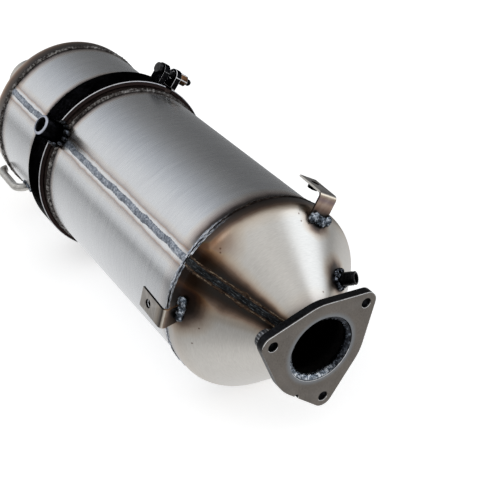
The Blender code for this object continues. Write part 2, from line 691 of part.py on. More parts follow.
# Round weld nut behind one bolt hole
turn = PLATE_TURN + math.tau / 3
nut_place = Matrix.Translation((0, BOLT_CIRCLE * math.cos(turn), BOLT_CIRCLE * math.sin(turn)))
nut_face = -PLATE_THICK - FIT
nut = [
    (nut_face, BOLT_HOLE - 0.0007),
    (nut_face, 0.0098),
    (nut_face - 0.0060, 0.0098),
    (nut_face - 0.0072, 0.0086),
    (nut_face - 0.0072, BOLT_HOLE - 0.0007),
]
finish(turned(nut, SMALL_SIDES), "flange_nut", (0.22, 0.22, 0.23), 0.4, 0.9, nut_place)

# Front can with its seam
tube = [
    (FRONT_LIP - LAP, CAN_RADIUS),
    (FRONT_CAN_REAR, CAN_RADIUS),
    (FRONT_CAN_REAR, CAN_RADIUS - WALL),
    (FRONT_LIP - LAP, CAN_RADIUS - WALL),
]
finish(turned(tube, ROUND_SIDES), "front_can", (0.62, 0.62, 0.62), 0.28, 1.0)
run = [(FRONT_LIP + BEAD + 0.001, CAN_RADIUS), (front_weld_at - BEAD - 0.001, CAN_RADIUS)]
finish(bead_strip(run, SEAM_TURN, SEAM_WIDTH, SEAM_HEIGHT), "front_can_seam", (0.30, 0.33, 0.38), 0.42, 0.9)
finish(ring_bead(FRONT_LIP + FIT, CAN_RADIUS, 1), "front_can_weld", (0.35, 0.36, 0.37), 0.4, 0.9)

# Inlet cone, the outlet's pressing turned round, and the inlet pipe in its neck
outside = [(FRONT_LIP - d, r) for d, r in cone_outline(0.0)]
inside = [(FRONT_LIP - d, r) for d, r in cone_outline(WALL)]
finish(turned(outside + inside[::-1], ROUND_SIDES), "inlet_cone", (0.45, 0.42, 0.38), 0.34, 1.0)
neck_tip = FRONT_LIP - (CONE_REACH - NECK_RECESS)
pipe_radius = NECK_RADIUS - WALL - FIT
pipe = [
    (neck_tip + PIPE_IN, pipe_radius),
    (neck_tip + PIPE_IN, pipe_radius - WALL),
    (neck_tip + PIPE_IN - PIPE_LENGTH, pipe_radius - WALL),
    (neck_tip + PIPE_IN - PIPE_LENGTH, pipe_radius),
]
finish(turned(pipe, INNER_SIDES), "inlet_pipe", (0.48, 0.46, 0.43), 0.33, 1.0)
pipe_bead = [
    (neck_tip - FIT, pipe_radius + FIT),
    (neck_tip - FIT, NECK_RADIUS - 0.0002),
    (neck_tip - 0.0022, NECK_RADIUS - 0.0006),
    (neck_tip - 0.0040, pipe_radius + 0.0006),
    (neck_tip - 0.0040, pipe_radius + FIT),
]
finish(turned(pipe_bead, INNER_SIDES), "inlet_pipe_weld", (0.24, 0.25, 0.27), 0.42, 0.9)

# Hanger hook: a bent rod on the front can
depth = math.sqrt(CAN_RADIUS**2 - HOOK_LEVEL**2)
root = (-HOOK_ROOT_AT, -depth + 0.006)
knee = (-HOOK_ROOT_AT, -depth - HOOK_STAND)
far = (-HOOK_ROOT_AT - HOOK_RUN, -depth - HOOK_STAND)
end = (-HOOK_ROOT_AT - HOOK_RUN, -depth - HOOK_STAND + HOOK_CURL)
hook_path = [root] + rounded(knee, root, far, 0.011, 6) + rounded(far, knee, end, 0.0075, 5) + [end]


def rod(path, level, radius, sides):
    """A round rod along a path in the plane z = level."""
    sections = []
    for i, point in enumerate(path):
        before = path[max(i - 1, 0)]
        after = path[min(i + 1, len(path) - 1)]
        way = Vector((after[0] - before[0], after[1] - before[1])).normalized()
        section = []
        for step in range(sides):
            a = math.tau * step / sides
            out = radius * math.cos(a)
            section.append((point[0] - way.y * out, point[1] + way.x * out, level + radius * math.sin(a)))
        sections.append(section)
    return loft(sections)


hook = finish(rod(hook_path, HOOK_LEVEL, ROD_RADIUS, 12), "hanger_hook", (0.55, 0.55, 0.53), 0.34, 1.0)
cut(hook, can_envelope)
hook_turn = math.atan2(HOOK_LEVEL, -depth)
hook_collar = [
    (CAN_RADIUS - 0.006, 0.0100),
    (CAN_RADIUS + 0.0006, 0.0098),
    (CAN_RADIUS + 0.0026, 0.0078),
    (CAN_RADIUS + 0.0026, 0.0066),
    (CAN_RADIUS - 0.006, 0.0066),
]
hook_weld = finish(
    upright(turned(hook_collar, SMALL_SIDES)),
    "hanger_hook_weld",
    (0.20, 0.21, 0.23),
    0.42,
    0.9,
    facing(-HOOK_ROOT_AT, hook_turn),
)
cut(hook_weld, can_envelope)

# Inner pieces: each core in its mat, with a retainer at both ends of the mat
bore = CAN_RADIUS - WALL


def core(prefix, rear, length, colour):
    """A ceramic core, the fibre mat round it and the two sheet retainers that hold the mat."""
    mat_outer = bore - 2 * FIT
    mat_inner = mat_outer - MAT_THICK
    radius = mat_inner - FIT
    front = rear - length
    bevel = 0.0012
    solid = [(front, radius - bevel), (front + bevel, radius), (rear - bevel, radius), (rear, radius - bevel)]
    finish(turned(solid, INNER_SIDES, closed=False), prefix + "_core", colour, 0.9, 0.0)
    mat_rear = rear - RETAINER_LENGTH - FIT
    mat_front = front + RETAINER_LENGTH + FIT
    mat = [(mat_front, mat_inner), (mat_front, mat_outer), (mat_rear, mat_outer), (mat_rear, mat_inner)]
    finish(turned(mat, INNER_SIDES), prefix + "_mat", (0.75, 0.73, 0.68), 0.95, 0.0)
    for name, x, way in (("_retainer_rear", rear, 1), ("_retainer_front", front, -1)):
        foot = x - way * RETAINER_LENGTH
        lip = x + way * 0.0018
        shape = [
            (foot, mat_outer),
            (lip, mat_outer),
            (lip, radius - RETAINER_LIP),
            (lip - way * 0.0014, radius - RETAINER_LIP),
            (lip - way * 0.0014, mat_outer - 0.0014),
            (foot, mat_outer - 0.0014),
        ]
        finish(turned(shape, INNER_SIDES), prefix + name, (0.5, 0.5, 0.5), 0.35, 1.0)


core("filter", CAN_REAR - FILTER_GAP, FILTER_LENGTH, (0.30, 0.30, 0.29))
core("catalyst", JOINT - CATALYST_GAP, CATALYST_LENGTH, (0.55, 0.52, 0.46))
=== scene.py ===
import math

import bpy
from mathutils import Matrix, Vector, noise


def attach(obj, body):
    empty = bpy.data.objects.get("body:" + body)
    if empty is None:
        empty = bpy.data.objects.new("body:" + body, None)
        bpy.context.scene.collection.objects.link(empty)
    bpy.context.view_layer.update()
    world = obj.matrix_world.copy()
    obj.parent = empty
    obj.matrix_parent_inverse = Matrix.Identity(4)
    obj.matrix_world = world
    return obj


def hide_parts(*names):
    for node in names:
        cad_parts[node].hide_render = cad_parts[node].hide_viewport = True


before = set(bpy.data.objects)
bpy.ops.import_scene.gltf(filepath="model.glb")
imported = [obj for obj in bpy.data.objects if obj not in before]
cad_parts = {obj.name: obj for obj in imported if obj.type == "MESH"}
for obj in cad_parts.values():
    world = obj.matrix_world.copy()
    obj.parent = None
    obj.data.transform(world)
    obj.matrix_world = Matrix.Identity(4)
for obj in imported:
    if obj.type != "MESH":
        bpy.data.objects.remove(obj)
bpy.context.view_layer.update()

# Filter can: the long tube that holds the filter block. It is brushed stainless sheet, rolled up and
# welded along one side, and it has a hole for the temperature sensor close to the clamped joint.
# Heat has tinted it straw and brown beside each weld.
FIT = 0.0003
WALL = 0.0015
CAN_RADIUS = 0.1015
CAN_REAR = -0.1000
CAN_FRONT = -0.42225
SEAM_TURN = math.radians(140.5)
RIM = -0.1093
JOINT_WELD = -0.3995
WELD_WIDTH = 0.0040
BUNG_AT = -0.4005
BUNG_TURN = math.radians(138.9)
SENSOR_HOLE = 0.005
SMUDGE = (-0.367, 0.047, 0.0895)
SMOOTH = math.radians(32)


def fresh(name, add, **settings):
    """A new primitive under this name, with nothing else selected."""
    bpy.ops.object.select_all(action="DESELECT")
    add(**settings)
    piece = bpy.context.object
    piece.name = piece.data.name = name
    return piece


def line_through(name, points):
    """A new piece that is one line through these points, left in edit mode and all selected."""
    piece = fresh(name, bpy.ops.mesh.primitive_plane_add, size=0.01)
    bpy.ops.object.mode_set(mode="EDIT")
    bpy.ops.mesh.merge(type="CENTER")
    bpy.ops.transform.translate(value=points[0])
    for one, two in zip(points, points[1:]):
        bpy.ops.mesh.extrude_vertices_move(TRANSFORM_OT_translate={"value": Vector(two) - Vector(one)})
    bpy.ops.mesh.select_all(action="SELECT")
    return piece


def close_up(piece, angle=SMOOTH):
    """Merges doubles, turns the faces outwards and leaves the piece in object mode."""
    bpy.context.view_layer.objects.active = piece
    bpy.ops.object.mode_set(mode="EDIT")
    bpy.ops.mesh.select_all(action="SELECT")
    bpy.ops.mesh.remove_doubles(threshold=2e-6)
    bpy.ops.mesh.normals_make_consistent(inside=False)
    bpy.ops.object.mode_set(mode="OBJECT")
    bpy.ops.object.shade_smooth_by_angle(angle=angle)
    return piece


def turned(name, outline, sides=180):
    """Spins a closed (x, radius) outline about the can's axis."""
    piece = line_through(name, [(x, r, 0.0) for x, r in outline + outline[:1]])
    bpy.ops.mesh.spin(steps=sides, angle=math.tau, center=(0, 0, 0), axis=(1, 0, 0))
    return close_up(piece)


def tube(name, start, end, outer, inner=0.0, sides=180):
    """A plain tube on the can's axis, or a solid bar."""
    return turned(name, [(start, outer), (end, outer), (end, inner), (start, inner)], sides)


def apply(piece, kind, **settings):
    """Adds a modifier to a piece and applies it."""
    modifier = piece.modifiers.new(kind.title(), kind)
    for key, value in settings.items():
        setattr(modifier, key, value)
    bpy.context.view_layer.objects.active = piece
    bpy.ops.object.modifier_apply(modifier=modifier.name)


def cut(piece, cutter):
    """Takes the cutter's shape out of the piece, and removes the cutter."""
    apply(piece, "BOOLEAN", operation="DIFFERENCE", solver="EXACT", object=cutter)
    bpy.data.objects.remove(cutter)


def drill(radius, depth, place, sides=48):
    """A round cutter about the local Z of a place."""
    cutter = fresh("drill", bpy.ops.mesh.primitive_cylinder_add, vertices=sides, radius=radius, depth=depth)
    cutter.data.transform(place)
    return cutter


def facing(x, turn, lean=0.0, skew=0.0, radius=0.0):
    """A place round the axis. Local Z points outwards, leaned towards +X, and local X along the axis."""
    place = Matrix.Translation((x, 0, 0)) @ Matrix.Rotation(turn - math.pi / 2, 4, "X")
    place = place @ Matrix.Translation((0, 0, radius))
    return place @ Matrix.Rotation(lean, 4, "Y") @ Matrix.Rotation(skew, 4, "Z")


def seat(piece, node, slot, *finishes):
    """Puts the finish on a piece and seats the piece on the frame in place of its plain solid."""
    slots = piece.data.materials
    for i, finish in enumerate(finishes):
        if i < len(slots):
            slots[i] = finish
        else:
            slots.append(finish)
    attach(piece, "root")
    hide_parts(node)


def shade(red, green, blue, strength=1.0):
    """A colour from the 0 to 255 numbers that a screen shows."""
    return tuple((v / 255) ** 2.2 for v in (red, green, blue)) + (strength,)


class Wire:
    """A value that runs through a finish's nodes. A sum with it adds the node that works it out."""

    def __init__(self, socket):
        self.socket = socket
        self.tree = socket.id_data

    def __add__(self, other):
        return calc("ADD", self, other)

    def __sub__(self, other):
        return calc("SUBTRACT", self, other)

    def __mul__(self, other):
        return calc("MULTIPLY", self, other)

    def __truediv__(self, other):
        return calc("DIVIDE", self, other)


def feed(value, socket):
    """Joins a wire to a socket, or sets it. Three numbers for a colour are those that a screen shows."""
    if isinstance(value, Wire):
        value.tree.links.new(value.socket, socket)
    elif socket.type == "RGBA" and len(value) == 3:
        socket.default_value = shade(*value)
    else:
        socket.default_value = value


def put(tree, kind, inputs, **settings):
    """Adds a node with these settings, and feeds its inputs by their number or name."""
    node = tree.nodes.new("ShaderNode" + kind)
    for key, value in settings.items():
        setattr(node, key, value)
    for key, value in inputs.items():
        feed(value, node.inputs[key])
    return node


def calc(operation, *values):
    node = put(values[0].tree, "Math", dict(enumerate(values)), operation=operation)
    return Wire(node.outputs[0])


def split(vector):
    """The x, y and z of a vector."""
    return [Wire(socket) for socket in put(vector.tree, "SeparateXYZ", {0: vector}).outputs]


def compare(operation, vector, other):
    """One number from two vectors, such as the distance between them."""
    return Wire(put(vector.tree, "VectorMath", {0: vector, 1: other}, operation=operation).outputs["Value"])


def fan(value, stops, tint=shade):
    """A colour ramp. A stop is a place from 0 to 1 and then the numbers that tint makes its colour from."""
    node = put(value.tree, "ValToRGB", {0: value})
    elements = node.color_ramp.elements
    while len(elements) < len(stops):
        elements.new(0.5)
    for element, (at, *numbers) in zip(elements, stops):
        element.position = at
        element.color = tint(*numbers)
    return Wire(node.outputs["Color"]), Wire(node.outputs["Alpha"])


def tones(value, *stops):
    """The colours of a ramp."""
    return fan(value, stops)[0]


def lay(under, over, amount, mode="MIX"):
    """Lays one colour over another."""
    node = put(amount.tree, "Mix", {}, data_type="RGBA", blend_type=mode)
    for number, value in ((0, amount), (6, under), (7, over)):
        feed(value, node.inputs[number])
    return Wire(node.outputs[2])


def ease(value, start, end, low=0.0, high=1.0):
    """Goes smoothly from low to high while the value goes from start to end."""
    numbers = dict(enumerate((value, start, end, low, high)))
    return Wire(put(value.tree, "MapRange", numbers, interpolation_type="SMOOTHSTEP").outputs[0])


def heat(under, distance, reach, stops, share=1.0, mode="DARKEN"):
    """Lays what welding leaves beside a weld over a colour, by distance. Each stop ends in its strength."""
    colour, strength = fan(distance / reach, stops)
    return lay(under, colour, strength * share, mode)


class Skin:
    """A finish in the making: its material, its shader, and the surface's own place, in metres."""

    def __init__(self, name, roughness, metallic):
        self.finish = bpy.data.materials.new(name)
        self.finish.use_nodes = True
        self.tree = self.finish.node_tree
        self.shader = self.tree.nodes["Principled BSDF"]
        self.set("Roughness", roughness)
        self.set("Metallic", metallic)
        self.place = Wire(self.tree.nodes.new("ShaderNodeTexCoord").outputs["Object"])
        self.x, self.y, self.z = split(self.place)

    def set(self, name, value):
        """Feeds one of the shader's inputs."""
        feed(value, self.shader.inputs[name])

    def bump(self, height, depth):
        node = put(self.tree, "Bump", {"Strength": depth, "Distance": 0.001, "Height": height})
        self.set("Normal", Wire(node.outputs[0]))

    def grain(self, scale, detail=3.0, stretch=(1, 1, 1), roughness=0.55, shift=0.0):
        """Noise from 0 to 1 on the surface. Scale is in cells a metre."""
        spot = put(self.tree, "Mapping", {"Vector": self.place, "Scale": stretch, "Location": (shift,) * 3})
        inputs = {"Vector": Wire(spot.outputs[0]), "Scale": scale, "Detail": detail, "Roughness": roughness}
        return Wire(put(self.tree, "TexNoise", inputs).outputs["Fac"])

    def turn(self):
        """The angle round the axis, from +Y towards +Z."""
        return calc("ARCTAN2", self.z, self.y)

    def off_axis(self):
        return calc("SQRT", self.y * self.y + self.z * self.z)

    def along(self, direction):
        """How far the surface lies along a direction from the origin."""
        return compare("DOT_PRODUCT", self.place, direction)

    def ragged(self, distance, wander, scale, shift=0.0):
        """A distance from a line that wanders by this much."""
        return self.grain(scale, shift=shift) * wander + (distance - wander / 2)

    def from_seam(self, turn, radius, wander, below=1.0):
        """Distance round the can from a seam. Below the seam it counts by this share."""
        angle = self.turn() - turn
        across = calc("MAXIMUM", angle * (radius * below), angle * -radius)
        return self.ragged(across, wander, 60.0)

    def from_ring(self, x, way, wander, scale=60.0):
        """Distance along the axis from a ring weld, on one side of it or, with no way, on both."""
        along = self.x - x
        along = along * way if way else calc("ABSOLUTE", along)
        return self.ragged(along, wander, scale, 7.0)

    def from_point(self, point, wander, scale=90.0):
        return self.ragged(compare("DISTANCE", self.place, point), wander, scale, 3.0)


def brushed(name, low, high, roughness=0.30, across=1500, banding=0.35, around=60):
    """Sheet steel that was brushed round the axis: long fine scratches and faint cloudy patches."""
    skin = Skin(name, roughness, 1.0)
    fine = skin.grain(1.0, 2.0, (across, around, around), 0.6)
    broad = skin.grain(1.0, 3.0, (420, 14, 14), 0.6, 5.0)
    mixed = fine * (0.85 - banding) + (broad * banding + skin.grain(22.0, 4.0) * 0.15)
    skin.set("Roughness", mixed * 0.12 + (roughness - 0.06))
    skin.set("Anisotropic", 0.55)
    skin.set("Anisotropic Rotation", 0.25)
    tangent = put(skin.tree, "Tangent", {}, direction_type="RADIAL", axis="X")
    skin.set("Tangent", Wire(tangent.outputs[0]))
    skin.bump(fine, 0.012)
    return skin, tones(mixed, (0.30, *low), (0.70, *high))


STRAW = (196, 176, 148)
TAN = (150, 118, 92)
BROWN = (88, 62, 48)
SOOT_AND_SHADE = (34, 27, 25)
PALE = (226, 226, 226)
SEAM_TINT = [
    (0.0, *PALE, 0.2), (0.30, *PALE, 0.32), (0.40, *TAN, 0.25), (0.46, *TAN, 0.70), (0.52, *BROWN, 0.46),
    (0.64, *TAN, 0.30), (0.82, *STRAW, 0.18), (1.0, *STRAW, 0.0),
]
RING_TINT = [
    (0.0, *SOOT_AND_SHADE, 0.97), (0.18, 54, 40, 34, 0.92), (0.36, 104, 82, 70, 0.72), (0.58, *TAN, 0.42),
    (0.78, *STRAW, 0.25), (1.0, *STRAW, 0.0),
]
SMUDGE_TINT = [(0.0, 74, 72, 66, 0.8), (0.5, 104, 100, 90, 0.4), (1.0, *STRAW, 0.0)]


def can_finish(name, *rings):
    """Each ring weld's place, the side of it, how far its tint reaches, and its strength low on the can."""
    skin, colour = brushed(name, (192, 194, 198), (215, 217, 219), 0.27)
    for x, way, reach, least in rings:
        share = ease(skin.z, 0.060, 0.086, least, 1.0)
        colour = heat(colour, skin.from_ring(x, way, 0.005), reach, RING_TINT, share)
    colour = heat(colour, skin.from_point(SMUDGE, 0.012, 160), 0.016, SMUDGE_TINT)
    colour = heat(colour, skin.from_seam(SEAM_TURN, CAN_RADIUS, 0.004), 0.017, SEAM_TINT, mode="MIX")
    skin.set("Base Color", colour)
    return skin.finish


def soot_and_shade_inside(piece, name):
    """Gives the wall's inner side a dull near-black coat: painted shade inside the filter can and the
    outlet cone, and soot inside the inlet cone.
    """
    skin = Skin(name, 0.9, 0.0)
    skin.set("Base Color", tones(skin.grain(240, 4.0), (0.35, 8, 8, 8), (0.65, 22, 20, 19)))
    skin.set("Specular IOR Level", 0.1)
    piece.data.materials.append(skin.finish)
    for face in piece.data.polygons:
        outward = Vector((0.0, face.center.y, face.center.z)).normalized()
        if face.normal.dot(outward) < -0.2:
            face.material_index = 1


can = tube("filter_can_shell", CAN_FRONT, CAN_REAR, CAN_RADIUS, CAN_RADIUS - WALL)
hole_place = facing(BUNG_AT, BUNG_TURN, radius=CAN_RADIUS)
cut(can, drill(SENSOR_HOLE, 0.02, hole_place))
rings = (RIM - 0.0056, -1, 0.018, 0.35), (JOINT_WELD + WELD_WIDTH, 1, 0.011, 0.8)
seat(can, "filter_can", "can_steel", can_finish("filter can steel", *rings))
# Inside, the can is painted near-black as shade.
soot_and_shade_inside(can, "filter can inner shade")

# Front can: the shorter tube upstream, which holds the catalyst block. It is the same brushed sheet,
# and the clamp joins it to the filter can.
JOINT = -0.4233
FRONT_LIP = -0.552
FRONT_JOINT_WELD = -0.4471
front_can = tube("front_can_shell", FRONT_LIP - 0.009, JOINT - 0.00105, CAN_RADIUS, CAN_RADIUS - WALL)
rings = (FRONT_LIP + 0.004, 1, 0.016, 0.6), (FRONT_JOINT_WELD - WELD_WIDTH, -1, 0.011, 0.6)
seat(front_can, "front_can", "can_steel", can_finish("front can steel", *rings))

# Weld seams of the two cans: the bead where each rolled sheet's edges were joined. It is machine
# welded steel, flattened and mottled blue-grey, with a lump here and there.
SEAM_WIDTH = 0.0070
SEAM_HEIGHT = 0.0010
WELD_SMOOTH = math.radians(60)


def uneven(x, y, z):
    return noise.noise(Vector((x, y, z)))


def seam_bead(name, path, turn, width, height, shape, waver, lumps=()):
    """A bead along (x, radius) points of a round surface. Shape gives its rise across, from -1 to 1."""
    steps = len(path) - 1
    piece = fresh(name, bpy.ops.mesh.primitive_grid_add, x_subdivisions=steps, y_subdivisions=28, size=2)
    bpy.ops.object.mode_set(mode="EDIT")
    bpy.ops.mesh.select_all(action="SELECT")
    bpy.ops.mesh.extrude_region_move(TRANSFORM_OT_translate={"value": (0, 0, -1)})
    close_up(piece)
    for vertex in piece.data.vertices:
        along = (vertex.co.x + 1) / 2 * steps
        x, radius = path[min(int(round(along)), steps)]
        across = vertex.co.y
        lump = sum(size * math.exp(-(((x - at) / reach) ** 2)) for at, reach, size in lumps)
        spread = 1 + 0.16 * uneven(x * 90, turn * 9, 0.5 + 4 * across) + 0.35 * lump
        spread += 0.20 * uneven(x * 430, turn * 9 + across, 4.1)
        sway = waver * uneven(x * 45, turn * 5, 3.3)
        angle = turn + (width / 2 * across * spread + sway) / radius
        rise = 0.0
        if vertex.co.z > -0.5:
            rough = 0.35 * uneven(x * 420, across * 3.1, turn) + 0.22 * uneven(x * 1300, across * 8, 2.2)
            rise = height * shape(across, x) * (0.78 + rough * 0.62 + 0.5 * lump)
        reach = radius + FIT * 0.5 + max(rise, 0.0)
        vertex.co = (x, reach * math.cos(angle), reach * math.sin(angle))
    return close_up(piece, WELD_SMOOTH)


def weld_finish(name, dark, mid, light, roughness, scale, depth):
    """Bare weld metal: mottled patches, dark in the hollows and bright on the ripples."""
    skin = Skin(name, roughness, 0.9)
    patch = skin.grain(scale, 4.0, roughness=0.62)
    mixed = patch * 0.7 + skin.grain(scale * 0.22, 2.0, shift=2.0) * 0.3
    skin.set("Base Color", tones(mixed, (0.36, *dark), (0.5, *mid), (0.66, *light)))
    skin.set("Roughness", patch * 0.3 + (roughness - 0.15))
    skin.bump(patch, depth)
    return skin.finish


def flat_crown(across, x):
    return max(0.0, 1 - abs(across) ** 2.2)


seam_weld = weld_finish("can seam weld", (82, 87, 96), (130, 137, 148), (194, 200, 209), 0.40, 420.0, 0.6)
for node, low, high, steps, waver, lumps in (
    ("filter_can_seam", -0.3855, -0.1143, 420, 0.0018, [(-0.196, 0.004, 0.8), (-0.312, 0.003, 0.45)]),
    ("front_can_seam", -0.547, -0.4525, 160, 0.0012, []),
):
    path = [(low + (high - low) * i / steps, CAN_RADIUS) for i in range(steps + 1)]
    seam = seam_bead(node + "_bead", path, SEAM_TURN, SEAM_WIDTH, SEAM_HEIGHT, flat_crown, waver, lumps)
    seat(seam, node, "weld", seam_weld)

# Outlet cone: one shell pressed from sheet steel. Its short skirt slips over the can, its shoulder is
# rounded, and its flank runs down to the neck inside the flange. The welds have tinted it brown.
CONE_REACH = 0.109
LIP = -CONE_REACH
SKIRT = 0.0182
HALF_ANGLE = math.radians(43.5)
NECK_RADIUS = 0.0348
NECK_END = CONE_REACH - 0.004
CONE_SEAM_TURN = math.radians(139.6)
PORT_AT = -0.0462
PORT_TURN = math.radians(30.5)
PORT_LEAN = math.radians(47.0)
PORT_HOLE = 0.0072
UPPER_TURN = math.radians(58.7)


def rounded(corner, before, after, radius, steps):
    """Points of the arc that rounds the corner between two straight runs."""
    corner, before, after = Vector(corner), Vector(before), Vector(after)
    one = (before - corner).normalized()
    two = (after - corner).normalized()
    half = one.angle(two) / 2
    centre = corner + (one + two).normalized() * radius / math.sin(half)
    first = corner + one * radius / math.tan(half) - centre
    last = corner + two * radius / math.tan(half) - centre
    turn = first.angle_signed(last)
    points = []
    for i in range(steps + 1):
        c, s = math.cos(turn * i / steps), math.sin(turn * i / steps)
        points.append((centre.x + first.x * c + first.y * s, centre.y - first.x * s + first.y * c))
    return points


def run(one, two, steps):
    """Points from one to just before two."""
    return [tuple(Vector(one).lerp(Vector(two), i / steps)) for i in range(steps)]


def cone_outline(inset, steps=1):
    """The cone's outline as (distance from its lip, radius), this far in from the outside."""
    skirt = CAN_RADIUS + FIT + WALL - inset
    neck = NECK_RADIUS - inset
    slope = math.tan(HALF_ANGLE)
    corner = SKIRT - inset * (1 / math.cos(HALF_ANGLE) - 1) / slope
    bottom = corner + (skirt - neck) / slope
    top = rounded((corner, skirt), (0, skirt), (bottom, neck), 0.016 - inset, 14)
    low = rounded((bottom, neck), (corner, skirt), (NECK_END, neck), 0.010 + inset, 8)
    flank = run(top[-1], low[0], 24 * steps)
    return run((0.0, skirt), top[0], 3 * steps) + top[:-1] + flank + low + [(NECK_END, neck)]


def cone_radius(distance):
    """The cone's outer radius at a distance from its lip."""
    points = cone_outline(0.0)
    for (x0, r0), (x1, r1) in zip(points, points[1:]):
        if distance <= x1:
            return r0 + (r1 - r0) * (distance - x0) / (x1 - x0)
    return NECK_RADIUS


def cone_blank():
    """The cone as a solid bar, a gap larger than the shell, to trim what stands on it."""
    outline = [(LIP + d, r) for d, r in cone_outline(-FIT)]
    return turned("blank", [(LIP, 0.0)] + outline + [(LIP + NECK_END, 0.0)], 120)


def pressing(name, lip, way):
    """The cone's shell, from a lip at this place towards way."""
    outer, inner = ([(lip + way * d, r) for d, r in cone_outline(inset)] for inset in (0.0, WALL))
    return turned(name, outer + inner[::-1])


def on_cone(distance, turn):
    radius = cone_radius(distance)
    return (LIP + distance, radius * math.cos(turn), radius * math.sin(turn))


def highlit_side(skin):
    """1 on the side of the ring weld where a highlight is painted, down to 0 over the top, where it is only
    burnt.
    """
    angle = calc("ABSOLUTE", calc("ARCTAN2", skin.z, skin.y * -1.0))
    return ease(angle, math.radians(50), math.radians(76), 1.0, 0.0)


LIP_BURN = [
    (0.0, *SOOT_AND_SHADE, 0.97), (0.16, 50, 37, 29, 0.94), (0.32, 74, 52, 38, 0.92), (0.46, 120, 86, 60, 0.80),
    (0.60, 176, 148, 116, 0.50), (0.86, *STRAW, 0.16), (1.0, *STRAW, 0.0),
]
CORNER_BURN = [
    (0.0, 60, 42, 32, 0.95), (0.45, 84, 60, 44, 0.9), (0.75, 150, 118, 90, 0.55), (1.0, *STRAW, 0.0),
]
FAINT_BURN = [(0.0, 112, 84, 66, 0.8), (0.45, 142, 114, 94, 0.6), (1.0, *STRAW, 0.0)]
SEAM_BURN = [
    (0.0, 24, 18, 15, 0.97), (0.30, 26, 20, 16, 0.97), (0.385, 42, 29, 21, 0.97), (0.47, 66, 48, 36, 0.94),
    (0.54, 92, 66, 46, 0.88), (0.62, 134, 104, 78, 0.74), (0.74, 174, 150, 122, 0.46), (1.0, *STRAW, 0.0),
]
FOOT_BURN = [
    (0.0, *SOOT_AND_SHADE, 1.0), (0.34, *SOOT_AND_SHADE, 0.97), (0.46, 56, 38, 28, 0.92), (0.58, 100, 74, 54, 0.78),
    (0.74, 156, 130, 104, 0.46), (1.0, *STRAW, 0.0),
]
SPECK = [(0.0, *BROWN, 0.9), (0.6, *BROWN, 0.6), (1.0, *BROWN, 0.0)]


def cone_sheet(name, lip, way, neck_at):
    """Brushed sheet, burnt dark beside the ring weld on its lip and tinted at the neck."""
    skin, colour = brushed(name, (190, 187, 182), (210, 207, 202), 0.32, 2600, 0.06, 170)
    share = ease(skin.z, 0.0, 0.062, 0.30, 1.0)
    colour = heat(colour, skin.from_ring(lip, way, 0.004), 0.028, LIP_BURN, share)
    return skin, heat(colour, skin.from_ring(neck_at, -way, 0.005), 0.022, RING_TINT, 0.5)


def outlet_cone_finish(name):
    """The sheet with its burns beside the seam, in the corners at the lip and at each foot of weld, with a
    few brown specks, and with streaks of weld metal beside the lip, laid on the near side only and
    carrying a painted highlight there."""
    skin, colour = cone_sheet(name, LIP, 1, -0.012)
    for distance, turn, wander, reach, burn in (
        (0.006, -0.10, 0.009, 0.030, CORNER_BURN),
        (0.006, 0.16, 0.009, 0.036, CORNER_BURN),
        (0.015, -0.28, 0.007, 0.032, FAINT_BURN),
    ):
        corner = on_cone(distance, CONE_SEAM_TURN + turn)
        colour = heat(colour, skin.from_point(corner, wander), reach, burn)
    colour = heat(colour, skin.from_seam(CONE_SEAM_TURN, 0.075, 0.004, 0.74), 0.026, SEAM_BURN)
    for distance, turn, reach in (
        (0.0275, UPPER_TURN, 0.022),
        (0.0175, math.radians(160.0), 0.040),
        (CONE_REACH + PORT_AT, PORT_TURN + 0.07, 0.027),
    ):
        colour = heat(colour, skin.from_point(on_cone(distance, turn), 0.007), reach, FOOT_BURN)
    for distance, turn in (
        (0.0221, 123.8), (0.0240, 125.3), (0.0343, 172.5), (0.0292, 184.5), (0.0293, 71.5), (0.0239, 72.0),
        (0.0799, 62.2),
    ):
        speck = on_cone(distance, math.radians(turn))
        colour = heat(colour, skin.from_point(speck, 0.0006), 0.0012, SPECK)
    # Streaks of weld metal beside the lip, on the near side only, where their bright tones are a painted
    # highlight.
    weld_streak_sheen = skin.grain(1.0, 4.0, (1500, 170, 170), 0.6)
    weld_streak_sheen = tones(weld_streak_sheen, (0.38, 28, 26, 26), (0.50, 96, 102, 112), (0.62, 226, 230, 236))
    reach = ease(skin.from_ring(LIP, 1, 0.0016, 90), 0.0024, 0.0033, 1.0, 0.0)
    skin.set("Base Color", lay(colour, weld_streak_sheen, reach * highlit_side(skin)))
    return skin.finish


cone = pressing("outlet_cone_shell", LIP, 1)
port_place = facing(PORT_AT, PORT_TURN, PORT_LEAN, radius=cone_radius(CONE_REACH + PORT_AT))
cut(cone, drill(PORT_HOLE, 0.032, port_place))
seat(cone, "outlet_cone", "cone_steel", outlet_cone_finish("outlet cone steel"))
# Inside, the cone is painted near-black as shade.
soot_and_shade_inside(cone, "outlet cone inner shade")

# Weld seam of the outlet cone: a black double bead with a ridge at each side and a thick lump half way
# down, laid by hand over the pressing's joint.
CONE_SEAM_WIDTH = 0.0118
CONE_SEAM_HEIGHT = 0.0017


def ridged(across, x):
    """The bead's rise: two crowns with a groove between them, and a thin broken ridge at each side."""
    away = abs(across)
    edge = math.exp(-(((away - 0.83) / 0.10) ** 2)) * (0.34 + 0.3 * uneven(x * 160, across * 2, 1.4))
    middle = max(0.0, 1 - (away / 0.56) ** 2.2) * (0.86 + 0.14 * math.cos(across * 17))
    groove = 0.30 * math.exp(-((across / 0.10) ** 2))
    return max(edge, middle - groove, 0.16 * (1 - away), 0.0)


